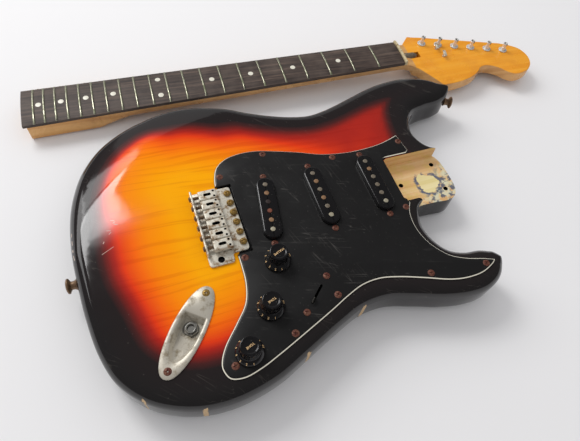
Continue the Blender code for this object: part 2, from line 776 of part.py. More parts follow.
def make_body(bench):
    """The body, with its pocket and its routes, and the bridge's six pivot screws in it."""
    body = bench.part("body", body_shell(2, 2, 30), "sunburst", bench.body)
    beyond = max(x for x, _ in BODY_OUTLINE) + THROUGH
    wall_end = POCKET_START + POCKET_WALL_LENGTH
    open_side = -POCKET_HALF - POCKET_STEP
    pocket = filleted((
        (POCKET_START, -POCKET_HALF, POCKET_CORNER), (wall_end, -POCKET_HALF, 0),
        (wall_end + POCKET_STEP, open_side, 0), (beyond, open_side, 0), (beyond, POCKET_HALF, 0),
        (POCKET_START, POCKET_HALF, POCKET_CORNER),
    ))
    bench.cut(body, "pocket", prism(pocket, POCKET_FLOOR, TOP + THROUGH))
    rows = [(x, y, NECK_SCREW_HOLE, -THROUGH, POCKET_FLOOR + THROUGH) for x, y in NECK_SCREWS]
    bench.cut(body, "neck_screw_holes", holes(rows, 8))
    for name, x, turn in PICKUPS:
        route = rounded_bar(PICKUP_ROUTE_LENGTH, PICKUP_ROUTE_WIDTH, PICKUP_ROUTE_CORNER, (x, 0), turn, 2)
        bench.cut(body, f"{name}_route", prism(route, TOP - PICKUP_ROUTE_DEPTH, TOP + THROUGH))
    xs = [x for _, x, _ in PICKUPS]
    channel = (
        (min(xs), -HEIGHT_SCREW_SPAN, TOP - PICKUP_ROUTE_DEPTH + CHANNEL_STEP),
        (max(xs), -HEIGHT_SCREW_SPAN + CHANNEL_WIDTH, TOP + THROUGH),
    )
    bench.cut(body, "wire_channel", box(*channel))
    bench.cut(body, "control_route", prism(smooth_loop(CONTROL_ROUTE, 2), TOP - CONTROL_DEPTH, TOP + THROUGH))
    back = BLOCK_FRONT - BLOCK_THICK - ROUTE_BACK_PLAY
    upper = route_outline(back, BLOCK_FRONT + ROUTE_PLAY, BLOCK_HALF_WIDTH + ROUTE_PLAY)
    bench.cut(body, "block_route", prism(upper, SPRING_ROUTE_DEPTH - ROUTE_OVERLAP, TOP + THROUGH))
    lower = route_outline(back, SPRING_ROUTE_END, BLOCK_FOOT_HALF_WIDTH + ROUTE_PLAY)
    bench.cut(body, "spring_route", prism(lower, -THROUGH, SPRING_ROUTE_DEPTH))
    along_x = Matrix.Rotation(math.radians(90), 4, "Y")
    start, end = SPRING_ROUTE_END - THROUGH, SPRING_ROUTE_END + CLAW_SCREW_REACH + THROUGH
    pilots = [
        (-SPRING_HEIGHT, side * CLAW_SCREW_SPAN, CLAW_SCREW + GAP, start, end) for side in (-1, 1)
    ]
    bench.cut(body, "claw_screw_pilots", holes(pilots, 8, along_x))
    rows = [(x, y, SCREW_SHANK + GAP, -THROUGH, COVER_SCREW_DEPTH) for x, y in cover_screws()]
    bench.cut(body, "cover_screw_pilots", holes(rows, 6))
    middle, turn = jack_place()
    room = 2 * JACK_ROUTE_PLAY
    route = rounded_bar(JACK_RECESS_LENGTH + room, JACK_RECESS_WIDTH + room, None, middle, turn, 4)
    bench.cut(body, "jack_route", prism(route, TOP - JACK_ROUTE_DEPTH, TOP + THROUGH))
    spots = [(PIVOT_X, y) for y in string_places()]
    seat = PLATE_TOP + PIVOT_PLAY
    pivots = screws(spots, seat, TOP - THROUGH, PIVOT_HEAD, PIVOT_HEAD_RISE, PIVOT_SHANK)
    bench.join(body, "pivot_screws", pivots)


def route_outline(back, front, half):
    """The outline of a route with round corners, from its back to its front and as wide on either side."""
    corners = ((back, -half), (front, -half), (front, half), (back, half))
    return filleted([(x, y, ROUTE_CORNER) for x, y in corners], 2)


def string_places():
    """Where each string crosses the bridge, from the bass side to the treble side."""
    return [STRING_PITCH * ((STRINGS - 1) / 2 - i) for i in range(STRINGS)]


def jack_place():
    """The jack plate's middle, and the turn that lays its length along the line of its screws."""
    first, second = Vector(JACK_SCREWS[0]), Vector(JACK_SCREWS[1])
    line = first - second
    return (first + second) / 2, math.degrees(math.atan2(line.y, line.x)) - 90


def make_guard(bench):
    """The pickguard, with the openings for pickups and controls, and its own screws."""
    outline = smooth_loop(GUARD_OUTLINE, 2, GUARD_CORNERS)
    guard = bench.part("pickguard", prism(outline, GUARD_LOW, GUARD_TOP), "black", bench.body)
    for name, x, turn in PICKUPS:
        window = rounded_bar(COVER_LENGTH + 2 * GAP, COVER_WIDTH + 2 * GAP, None, (x, 0), turn, 3)
        bench.cut(guard, f"{name}_window", prism(window, GUARD_LOW - THROUGH, GUARD_TOP + THROUGH))
    low, high = GUARD_LOW - THROUGH, GUARD_TOP + THROUGH
    rows = [(x, y, BUSHING_RADIUS + GAP, low, high) for _, x, y in KNOBS]
    bench.cut(guard, "pot_holes", holes(rows, 10))
    spots = list(SWITCH_SCREWS)
    for _, x, turn in PICKUPS:
        spots += height_screws(x, turn)
    rows = [(x, y, SCREW_SHANK + GAP, low, high) for x, y in spots]
    bench.cut(guard, "screw_holes", holes(rows, 6))
    middle, turn = switch_place()
    slot = rounded_bar(SWITCH_SLOT_LENGTH, SWITCH_SLOT_WIDTH, None, middle, turn, 2)
    bench.cut(guard, "switch_slot", prism(slot, low, high))
    bench.join(guard, "screws", screws(GUARD_SCREWS, GUARD_TOP - GAP, GUARD_LOW + GAP))


def height_screws(x, turn):
    """The places of a pickup's two height screws."""
    spin = Matrix.Rotation(math.radians(turn), 2)
    return [Vector((x, 0)) + spin @ Vector((0, side * HEIGHT_SCREW_SPAN)) for side in (1, -1)]


def pole_places(x, turn):
    """The places of a pickup's six pole pieces."""
    spin = Matrix.Rotation(math.radians(turn), 2)
    return [
        Vector((x, 0)) + spin @ Vector((0, POLE_PITCH * ((STRINGS - 1) / 2 - i))) for i in range(STRINGS)
    ]


def make_pickups(bench):
    """Each pickup: its cover over a coil on flatwork, with six poles and two height screws."""
    cover_top = GUARD_TOP + COVER_RISE
    inner_top = cover_top - COVER_WALL
    coil_top = inner_top - GAP
    foot = cover_top - COVER_DEPTH
    for name, x, turn in PICKUPS:
        outer = rounded_bar(COVER_LENGTH, COVER_WIDTH, None, (x, 0), turn, 3)
        cover = bench.part(f"{name}_pickup_cover", prism(outer, foot, cover_top), "black", bench.body)
        wall = 2 * COVER_WALL
        inner = rounded_bar(COVER_LENGTH - wall, COVER_WIDTH - wall, None, (x, 0), turn, 2)
        bench.cut(cover, "hollow", prism(inner, foot - THROUGH, inner_top))
        poles = pole_places(x, turn)
        rows = [(px, py, POLE_RADIUS + GAP, inner_top - THROUGH, cover_top + THROUGH) for px, py in poles]
        bench.cut(cover, "pole_holes", holes(rows, 8))
        winding = rounded_bar(COIL_LENGTH, COIL_WIDTH, None, (x, 0), turn, 1)
        low = foot - GAP - FLATWORK_THICK
        wound = prism(winding, low + JOINT, coil_top)
        coil = bench.part(f"{name}_pickup_coil", wound, "black", bench.body)
        flatwork = rounded_bar(FLATWORK_LENGTH, FLATWORK_WIDTH, FLATWORK_CORNER, (x, 0), turn, 1)
        bench.join(coil, "flatwork", prism(flatwork, low, foot - GAP))
        rows = [(px, py, POLE_RADIUS, coil_top - JOINT, GUARD_TOP + POLE_TOP) for px, py in poles]
        bench.join(coil, "poles", rods(rows, sides=8))
        bench.join(coil, "height_screws", screws(height_screws(x, turn), SCREW_SEAT, low + JOINT))


def make_controls(bench):
    """Each control: a potentiometer's case, its shaft, and the skirted knob on the shaft."""
    nut_low = GUARD_TOP + GAP
    nut_top = nut_low + POT_NUT_THICK
    case_top = GUARD_LOW - GAP
    case_low = case_top - POT_CASE_DEPTH
    floor = case_low + POT_FLOOR
    bore = SHAFT_RADIUS + RUNNING_GAP
    shaft_top = GUARD_TOP + SHAFT_RISE
    low = GUARD_TOP + KNOB_LIFT
    high = low + KNOB_HEIGHT
    hollow = POT_NUT_RADIUS + KNOB_WALL_PLAY
    hollow_top = nut_top + JOINT
    for name, x, y in KNOBS:
        place = bench.frame(f"{name}_axis", bench.body, at=(x, y, 0))
        case = turned((
            (0, floor), (bore, floor), (bore, nut_top), (POT_NUT_RADIUS, nut_top),
            (POT_NUT_RADIUS, nut_low), (BUSHING_RADIUS, nut_low), (BUSHING_RADIUS, case_top),
            (POT_CASE_RADIUS, case_top), (POT_CASE_RADIUS, case_low), (0, case_low),
        ), 12)
        bench.part(f"{name}_pot_case", case, "steel", place)
        shaft = rods([(0, 0, SHAFT_RADIUS, floor + GAP, shaft_top)], 10)
        bench.part(f"{name}_pot_shaft", shaft, "steel", place)
        knob = turned((
            (0, high), (KNOB_CAP - KNOB_EDGE, high), (KNOB_CAP, high - KNOB_EDGE),
            (KNOB_CAP + KNOB_TAPER, low + KNOB_CAP_FOOT), (KNOB_SKIRT - KNOB_SHOULDER, low + KNOB_SKIRT_TOP),
            (KNOB_SKIRT, low + KNOB_SKIRT_EDGE), (KNOB_SKIRT, low), (hollow, low), (hollow, hollow_top),
            (bore, hollow_top), (bore, shaft_top + GAP), (0, shaft_top + GAP),
        ), 16)
        bench.part(f"{name}_knob", knob, "black", place)


def switch_place():
    """The switch's middle, and the turn that lays a bar's length along the line of its screws."""
    first, second = Vector(SWITCH_SCREWS[0]), Vector(SWITCH_SCREWS[1])
    line = first - second
    return (first + second) / 2, math.degrees(math.atan2(line.y, line.x)) - 90


def make_switch(bench):
    """The five-way switch: its frame under the guard with two screws and a pin, and the blade on the pin."""
    middle, turn = switch_place()
    pivot = GUARD_TOP - SWITCH_PIVOT_DEPTH
    place = bench.frame("switch_axis", bench.body, at=(middle.x, middle.y, pivot), turn=(0, 0, turn))
    span = (Vector(SWITCH_SCREWS[0]) - Vector(SWITCH_SCREWS[1])).length / 2
    top = GUARD_LOW - GAP - pivot
    end, wide = span + SWITCH_PLATE_END, SWITCH_LEVER_WIDTH
    plate = box((-wide, -end, top - SWITCH_PLATE_THICK), (wide, end, top))
    frame = bench.part("switch_frame", plate, "steel", place)
    length, width = SWITCH_SLOT_LENGTH + SWITCH_PLATE_PLAY, SWITCH_SLOT_WIDTH + SWITCH_PLATE_PLAY
    slot = rounded_bar(length, width, None, (0, 0), 0, 2)
    bench.cut(frame, "slot", prism(slot, top - THROUGH, top + THROUGH))
    wall_x = SWITCH_LEVER_THICK / 2 + SWITCH_WALL_GAP
    low = (wall_x, -span + SWITCH_WALL_END, -SWITCH_WALL_FOOT)
    high = (wall_x + SWITCH_WALL_THICK, span - SWITCH_WALL_END, top - SWITCH_PLATE_THICK / 2)
    bench.join(frame, "wall", box(low, high))
    across = Matrix.Rotation(math.radians(90), 4, "Y")
    pin = rods([(0, 0, SWITCH_PIN, -SWITCH_LEVER_THICK, wall_x + JOINT)], 10, across)
    bench.join(frame, "pin", pin)
    bench.join(frame, "screws", screws([(0, span), (0, -span)], SCREW_SEAT - pivot, top - JOINT))
    lever_frame = bench.frame("switch_rest", place, turn=(SWITCH_SWING, 0, 0))
    half = SWITCH_LEVER_THICK / 2
    narrow = SWITCH_LEVER_WIDTH / 2
    blade = box((-half, -narrow, -SWITCH_LEVER_TAIL), (half, narrow, SWITCH_LEVER_REACH))
    lever = bench.part("switch_lever", blade, "steel", lever_frame)
    eye = holes([(0, 0, SWITCH_PIN + RUNNING_GAP, -THROUGH, THROUGH)], 10, across)
    bench.cut(lever, "eye", eye)


def make_bridge(bench):
    """The tremolo bridge on its pivot line: base plate with lip, block under it, and six saddles on it."""
    pivot = bench.frame("bridge_pivot", bench.body, at=(PIVOT_X, 0, PLATE_LOW))
    shift = Matrix.Translation((-PIVOT_X, 0, -PLATE_LOW))
    low_y = ARM_HOLE[1] - PLATE_TAB_WIDTH / 2
    outline = filleted((
        (PLATE_BACK, low_y, PLATE_CORNER), (PLATE_TAB_FRONT, low_y, PLATE_CORNER),
        (PLATE_TAB_FRONT, -PLATE_HALF_WIDTH, 0), (PLATE_FRONT, -PLATE_HALF_WIDTH, PLATE_FRONT_CORNER),
        (PLATE_FRONT, PLATE_HALF_WIDTH, PLATE_FRONT_CORNER),
        (PLATE_BACK, PLATE_HALF_WIDTH, PLATE_FRONT_CORNER),
    ), 3)
    plate = bench.part("bridge_plate", prism(outline, PLATE_LOW, PLATE_TOP, shift), "steel", pivot)
    lip_half = PLATE_HALF_WIDTH - PLATE_LIP_INSET
    lip = box(
        (PLATE_BACK, -lip_half, PLATE_LOW + PLATE_THICK / 4),
        (PLATE_BACK + PLATE_LIP_THICK, lip_half, PLATE_TOP + PLATE_LIP_HEIGHT), shift,
    )
    bench.join(plate, "lip", lip)
    low, high = PLATE_LOW - THROUGH, PLATE_TOP + THROUGH
    rows = [(PIVOT_X, y, PIVOT_SHANK + PIVOT_PLAY, low, high) for y in string_places()]
    rows.append((*ARM_HOLE, ARM_HOLE_RADIUS, low, high))
    bench.cut(plate, "holes", holes(rows, 8, shift))
    side = PLATE_HALF_WIDTH + THROUGH
    tilt = Matrix.Rotation(-KNIFE_ANGLE, 4, "Y")
    bench.cut(plate, "knife_edge", box((0, -side, -THROUGH), (KNIFE_LENGTH, side, 0), tilt))
    axis_z = screw_axis_height()
    along_x = Matrix.Rotation(math.radians(90), 4, "Y")
    lip_holes = [
        (-axis_z, y, INTONATION_SHANK + GAP, PLATE_BACK - THROUGH, PLATE_BACK + THROUGH)
        for y in string_places()
    ]
    bench.cut(plate, "lip_holes", holes(lip_holes, 6, shift @ along_x))

    shoulder_high = SPRING_ROUTE_DEPTH + BLOCK_SHOULDER_HIGH
    shoulder_low = SPRING_ROUTE_DEPTH - BLOCK_SHOULDER_LOW
    section = [
        (BLOCK_HALF_WIDTH, BLOCK_TOP), (-BLOCK_HALF_WIDTH, BLOCK_TOP), (-BLOCK_HALF_WIDTH, shoulder_high),
        (-BLOCK_FOOT_HALF_WIDTH, shoulder_low), (-BLOCK_FOOT_HALF_WIDTH, BLOCK_FOOT),
        (BLOCK_FOOT_HALF_WIDTH, BLOCK_FOOT), (BLOCK_FOOT_HALF_WIDTH, shoulder_low),
        (BLOCK_HALF_WIDTH, shoulder_high),
    ]
    stand = Matrix(((0, 0, 1, 0), (1, 0, 0, 0), (0, 1, 0, 0), (0, 0, 0, 1)))
    block = prism(section, BLOCK_FRONT - BLOCK_THICK, BLOCK_FRONT, shift @ stand)
    block = bench.part("tremolo_block", block, "steel", pivot)
    string_x = BLOCK_FRONT - BLOCK_THICK / 2
    low, high = BLOCK_FOOT - THROUGH, BLOCK_TOP + THROUGH
    spots = [BLOCK_STRING_PITCH * (i - (STRINGS - 1) / 2) for i in range(STRINGS)]
    strings = [(string_x, y, BLOCK_STRING_HOLE, low, high) for y in spots]
    bench.cut(block, "string_holes", holes(strings, 6, shift))

    for number, y in enumerate(string_places(), 1):
        low, back = PLATE_TOP + SADDLE_LOW, SADDLE_FRONT - SADDLE_LENGTH
        half = SADDLE_WIDTH / 2
        saddle = box((back, y - half, low), (SADDLE_FRONT, y + half, low + SADDLE_HEIGHT), shift)
        saddle = bench.part(f"saddle_{number}", saddle, "steel", pivot)
        middle = (back + SADDLE_SLOT_BACK, y)
        slot = rounded_bar(SADDLE_SLOT_LENGTH, SADDLE_SLOT_WIDTH, None, middle, 90, 2)
        bench.cut(saddle, "string_slot", prism(slot, low - THROUGH, low + SADDLE_HEIGHT + THROUGH, shift))
        feet = [
            (SADDLE_FRONT - SADDLE_FOOT_INSET, y + side, SADDLE_FOOT, PLATE_TOP + GAP, low + JOINT)
            for side in (-SADDLE_FOOT_INSET, SADDLE_FOOT_INSET)
        ]
        bench.join(saddle, "height_screws", rods(feet, 6, shift))
        head_front = PLATE_BACK - GAP
        shank = (-axis_z, y, INTONATION_SHANK, head_front - JOINT, back + JOINT)
        head = (-axis_z, y, INTONATION_HEAD, head_front - INTONATION_HEAD_THICK, head_front)
        bench.join(saddle, "intonation_shank", rods([shank], 6, shift @ along_x))
        bench.join(saddle, "intonation_head", rods([head], 8, shift @ along_x))


def screw_axis_height():
    """The height of the intonation screws, halfway up the saddles."""
    return PLATE_TOP + SADDLE_LOW + SADDLE_HEIGHT / 2


def make_back(bench):
    """What the back route holds: the claw with its screws, three springs, and the cover over them."""
    claw = bench.part(
        "spring_claw",
        box(
            (CLAW_X, -CLAW_HALF_WIDTH, SPRING_HEIGHT - CLAW_HEIGHT / 2),
            (CLAW_X + CLAW_THICK, CLAW_HALF_WIDTH, SPRING_HEIGHT + CLAW_HEIGHT / 2),
        ),
        "steel", bench.body,
    )
    along_x = Matrix.Rotation(math.radians(90), 4, "Y")
    for side in (-1, 1):
        y = side * CLAW_SCREW_SPAN
        start, end = CLAW_X + CLAW_THICK - JOINT, SPRING_ROUTE_END + CLAW_SCREW_REACH
        shank = rods([(-SPRING_HEIGHT, y, CLAW_SCREW, start, end)], 8, along_x)
        bench.join(claw, f"screw_{side + 2}", shank)
        head_low, head_high = CLAW_X - CLAW_HEAD_THICK, CLAW_X + JOINT / 2
        head = rods([(-SPRING_HEIGHT, y, CLAW_SCREW * 2, head_low, head_high)], 8, along_x)
        bench.join(claw, f"screw_head_{side + 2}", head)
    low = BLOCK_FRONT + GAP
    high = CLAW_X - GAP
    first, last = high - SPRING_END, low + SPRING_END
    pitch = (first - last) / SPRING_COILS
    groove = SPRING_RADIUS - 2 * SPRING_WIRE
    for number in range(3):
        profile = [(0, high), (SPRING_WIRE, high), (SPRING_WIRE, first)]
        for coil in range(SPRING_COILS):
            top = first - coil * pitch
            profile += [(groove, top), (SPRING_RADIUS, top - pitch / 2)]
        profile += [(groove, last), (SPRING_WIRE, last), (SPRING_WIRE, low), (0, low)]
        spring = bench.part(f"tremolo_spring_{number + 1}", turned(profile, 6), "steel", bench.body)
        spring.location = Vector((0, (number - 1) * SPRING_PITCH, SPRING_HEIGHT)) * MM
        spring.rotation_euler = (0, math.radians(90), 0)
    left = COVER_PLATE_CENTRE - COVER_PLATE_LENGTH / 2
    right = COVER_PLATE_CENTRE + COVER_PLATE_LENGTH / 2
    half = COVER_PLATE_HALF_WIDTH
    corners = ((left, -half), (right, -half), (right, half), (left, half))
    outline = filleted([(x, y, COVER_CORNER) for x, y in corners], 3)
    plate = bench.part("back_cover", prism(outline, -BODY_LIFT, -GAP), "black", bench.body)
    slot_x = BLOCK_FRONT - BLOCK_THICK / 2
    slot = rounded_bar(STRING_SLOT_LENGTH, STRING_SLOT_WIDTH, None, (slot_x, 0), 0, 4)
    bench.cut(plate, "string_slot", prism(slot, -BODY_LIFT - THROUGH, THROUGH))
    rows = [(x, y, SCREW_SHANK, -BODY_LIFT / 2, COVER_SCREW_DEPTH - GAP) for x, y in cover_screws()]
    bench.join(plate, "screws", rods(rows, 6))


def cover_screws():
    """The places of the back cover's six screws."""
    reach = COVER_PLATE_LENGTH / 2 - COVER_SCREW_INSET
    side = COVER_PLATE_HALF_WIDTH - COVER_SCREW_INSET
    return [(COVER_PLATE_CENTRE + share * reach, way * side) for share in (-1, 0, 1) for way in (-1, 1)]


def make_jack(bench):
    """The jack plate, a pressed dish with two screws, and the socket in the dish's floor."""
    middle, turn = jack_place()
    place = bench.frame("jack_frame", bench.body, at=(middle.x, middle.y, TOP + GAP), turn=(0, 0, turn))
    thick = JACK_PLATE_THICK
    outline = boat(JACK_PLATE_LENGTH, JACK_PLATE_WIDTH, JACK_PLATE_POINTS)
    plate = bench.part("jack_plate", prism(outline, 0, thick), "steel", place)
    floor = -JACK_RECESS_DEPTH

    def dish(inset, low, high):
        """The dish's shape from its floor to its rim, this far inside its outer faces."""
        rim = rounded_bar(JACK_RECESS_LENGTH - 2 * inset, JACK_RECESS_WIDTH - 2 * inset, None, (0, 0), 0, 3)
        base = rounded_bar(JACK_FLOOR_LENGTH - 2 * inset, JACK_FLOOR_WIDTH - 2 * inset, None, (0, 0), 0, 3)
        return loft([[(x, y, low) for x, y in base], [(x, y, high) for x, y in rim]])

    bench.join(plate, "dish", dish(0, floor, thick - SEAM))
    hollow = dish(thick, floor + thick, thick + SEAM)
    bench.cut(plate, "recess", hollow)
    bench.cut(plate, "socket_hole", holes([(0, JACK_OFFSET, JACK_HOLE, floor - THROUGH, floor + THROUGH)], 12))
    span = (Vector(JACK_SCREWS[0]) - Vector(JACK_SCREWS[1])).length / 2
    bench.join(plate, "screws", screws([(0, span), (0, -span)], thick - GAP, GAP))
    nut_low = floor + thick + GAP
    nut_top = nut_low + JACK_NUT_THICK
    top = floor + thick + JACK_RISE
    foot = floor - JACK_CASE_DEPTH
    bore_foot = foot + JACK_CASE_FLOOR
    profile = (
        (0, bore_foot), (JACK_BORE, bore_foot), (JACK_BORE, top), (JACK_BARREL, top), (JACK_BARREL, nut_top),
        (JACK_NUT, nut_top), (JACK_NUT, nut_low), (JACK_BARREL, nut_low), (JACK_BARREL, floor - GAP),
        (JACK_CASE, floor - GAP), (JACK_CASE, foot), (0, foot),
    )
    socket = bench.part("jack_socket", turned(profile, 12), "steel", place)
    socket.location = Vector((0, JACK_OFFSET, 0)) * MM


def boat(length, width, count):
    """The outline of a boat-shaped plate: an ellipse with its ends drawn out."""
    spots = []
    for i in range(count):
        angle = 2 * math.pi * i / count
        side = math.copysign(abs(math.cos(angle)) ** JACK_PLATE_POINTED, math.cos(angle))
        spots.append((width / 2 * side, length / 2 * math.sin(angle)))
    return spots


def make_strap_buttons(bench):
    """A strap button at the body's end and one on its upper horn, each standing out from the edge."""
    for name, (x, y), way in STRAP_BUTTONS:
        profile = (
            (0, STRAP_LENGTH), (STRAP_HEAD * 0.55, STRAP_LENGTH), (STRAP_HEAD, STRAP_LENGTH - STRAP_DOME),
            (STRAP_HEAD, STRAP_LENGTH - STRAP_RIM_LOW), (STRAP_WAIST, STRAP_LENGTH - STRAP_UNDER),
            (STRAP_WAIST, STRAP_FLARE), (STRAP_HEAD * 0.8, 0), (0, 0),
        )
        button = bench.part(f"strap_button_{name}", turned(profile, 12), "brass", bench.body)
        direction = Vector((*way, 0)).normalized()
        start = Vector((x, y, STRAP_BUTTON_HEIGHT)) + direction * STRAP_SEAT
        button.matrix_local = Matrix.Translation(start * MM) @ turned_way(direction)


def board_width(back):
    """The fretboard's width at this distance behind the nut."""
    return NUT_WIDTH + (BOARD_END_WIDTH - NUT_WIDTH) * back / BOARD_LENGTH


def crown(y):
    """How far the fretboard's crowned top lies below its middle at this distance from the centre line."""
    return BOARD_RADIUS - math.sqrt(BOARD_RADIUS * BOARD_RADIUS - y * y)


def fret_place(number):
    """The distance of a fret behind the nut."""
    return SCALE_LENGTH * (1 - 2 ** (-number / 12))


def neck_section(back, depth, power, low_top=MAPLE_TOP, width=None, count=11):
    """A ring round the neck's maple: flat on top, and rounder below the smaller the power is."""
    half = (board_width(back) if width is None else width) / 2
    ring = []
    for i in range(count):
        angle = math.pi * i / (count - 1)
        y = half * math.copysign(abs(math.cos(angle)) ** (2 / power), math.cos(angle))
        z = low_top - (depth + low_top) * abs(math.sin(angle)) ** (2 / power)
        ring.append((-back, y, z))
    return ring


def make_neck(bench):
    """The maple neck: heel, shaft and headstock in one, with its truss rod groove and tuner holes."""
    twelfth, first = fret_place(12), fret_place(1)
    heel_front = NECK_LENGTH - HEEL_LENGTH
    # Distance behind the nut, depth, how square the section is, and the top and width where they differ
    stations = (
        (NECK_LENGTH, HEEL_THICK, 14),
        (heel_front + 12, HEEL_THICK, 14),
        (heel_front + 2, HEEL_THICK - 0.6, 6),
        (heel_front - 10, HEEL_THICK - 1.6, 3.4),
        (heel_front - 24, NECK_DEPTH_TWELFTH + 0.3, 2.4),
        (twelfth, NECK_DEPTH_TWELFTH, 2.3),
        (twelfth / 2, (NECK_DEPTH_TWELFTH + NECK_DEPTH_FIRST) / 2, 2.3),
        (first, NECK_DEPTH_FIRST, 2.3),
        (2, NECK_DEPTH_FIRST - 0.3, 2.4),
        (-NUT_THICK - 1.5, NECK_DEPTH_FIRST + 0.2, 2.7, MAPLE_TOP, NUT_WIDTH),
        (-12, NECK_DEPTH_FIRST + 1.4, 3.4, -HEAD_DROP + 1.6, NUT_WIDTH),
        (-20, -HEAD_BACK - 0.6, 6, -HEAD_DROP - 0.4, NUT_WIDTH + 4),
        (-34, -HEAD_BACK - 1.2, 8, -HEAD_DROP - 1.2, NUT_WIDTH + 6),
    )
    neck = bench.part("neck", loft([neck_section(*station) for station in stations]), "maple", bench.neck)
    plate = prism(smooth_loop(HEAD_OUTLINE, 2, HEAD_CORNERS), HEAD_BACK, -HEAD_DROP)
    bench.join(neck, "headstock", plate)
    rod_z = rod_height()
    groove = ROD_RADIUS + GAP
    tip = BULLET_X + BULLET_TIP
    shoulder = tip - BULLET_LENGTH
    recess = (shoulder - BULLET_ROOM, tip + BULLET_ROOM)
    slot = box((-ROD_END - THROUGH, -groove, rod_z - groove), (recess[0] + JOINT, groove, MAPLE_TOP + THROUGH))
    bench.cut(neck, "rod_groove", slot)
    along_x = Matrix.Rotation(math.radians(90), 4, "Y")
    seat = holes([(-rod_z, 0, BULLET_RADIUS + BULLET_PLAY, *recess)], 10, along_x)
    bench.cut(neck, "bullet_recess", seat)
    low, high = HEAD_BACK - THROUGH, -HEAD_DROP + THROUGH
    rows = [(x, y, BUSHING_TUNER + GAP, low, high) for x, y in tuner_places()]
    bench.cut(neck, "tuner_holes", holes(rows, 8))
    low, high = -HEEL_THICK - THROUGH, -HEEL_THICK + NECK_PILOT_DEPTH
    pilots = [(x - POCKET_START - NECK_LENGTH, y, NECK_PILOT, low, high) for x, y in NECK_SCREWS]
    bench.cut(neck, "screw_pilots", holes(pilots, 6))

    profile = (
        (0, tip), (BULLET_RADIUS * 0.57, tip - SEAM * 6), (BULLET_RADIUS, tip - BULLET_NOSE),
        (BULLET_RADIUS, shoulder), (ROD_RADIUS, shoulder - JOINT), (ROD_RADIUS, -ROD_END), (0, -ROD_END),
    )
    rod = bench.part("truss_rod", turned(profile, 10), "steel", bench.neck)
    rod.matrix_local = Matrix.Translation(Vector((0, 0, rod_z)) * MM) @ turned_way((1, 0, 0))


def rod_height():
    """The height of the truss rod's axis: its bullet stands half out of the headstock's face."""
    return -HEAD_DROP - BULLET_SINK


def make_fretboard(bench):
    """The rosewood fretboard with its crowned top and its frets, and the bone nut in front of it."""

    def section(back, margin=0.0, rise=0.0, low=-BOARD_THICK, count=7):
        half = board_width(back) / 2 - margin
        ring = [(-back, -half, low), (-back, half, low)]
        for i in range(count):
            y = half * (1 - 2 * i / (count - 1))
            ring.append((-back, y, rise - crown(y)))
        return ring

    board = bench.part("fretboard", loft([section(BOARD_LENGTH), section(0)]), "rosewood", bench.neck)
    bm = bmesh.new()
    for number in range(1, FRETS + 1):
        middle = fret_place(number)
        rings = []
        for share, rise in ((-0.5, -FRET_ROOT), (0, FRET_RISE), (0.5, -FRET_ROOT)):
            rings.append(section(middle - share * FRET_WIDTH, FRET_MARGIN, rise, -BOARD_THICK / 2, 5))
        rows = [[bm.verts.new(spot) for spot in ring] for ring in rings]
        for near, far in zip(rows, rows[1:]):
            for i in range(len(near)):
                j = (i + 1) % len(near)
                bm.faces.new((near[i], near[j], far[j], far[i]))
        bm.faces.new(rows[0][::-1])
        bm.faces.new(rows[-1])
    bmesh.ops.triangulate(bm, faces=[face for face in bm.faces if len(face.verts) > 4])
    bmesh.ops.recalc_face_normals(bm, faces=bm.faces)
    bench.join(board, "frets", as_object(bm))

    half = NUT_WIDTH / 2
    rings = []
    for x in (GAP, GAP + NUT_THICK):
        ring = [(x, -half, MAPLE_TOP + GAP), (x, half, MAPLE_TOP + GAP)]
        for i in range(7):
            y = half * (1 - 2 * i / 6)
            ring.append((x, y, NUT_RISE - crown(y) - (NUT_SLOPE if x > GAP else 0)))
        rings.append(ring)
    nut = bench.part("nut", loft(rings), "bone", bench.neck)
    slots = bmesh.new()
    for i in range(STRINGS):
        y = (half - NUT_SLOT_SIDE) * (1 - 2 * i / (STRINGS - 1))
        size = (NUT_THICK + 2 * THROUGH, NUT_SLOT_WIDTH, 2 * NUT_SLOT_DEPTH)
        spot = Matrix.Translation((0, y, NUT_RISE - crown(y))) @ Matrix.Diagonal((*size, 1))
        bmesh.ops.create_cube(slots, size=1, matrix=spot)
    bench.cut(nut, "string_slots", as_object(slots))


def tuner_places():
    """The six tuner posts, along the headstock's straight edge."""
    along = Matrix.Rotation(math.radians(TUNER_LINE_TURN), 2) @ Vector((TUNER_PITCH, 0))
    return [Vector(TUNER_FIRST) + along * i for i in range(STRINGS)]


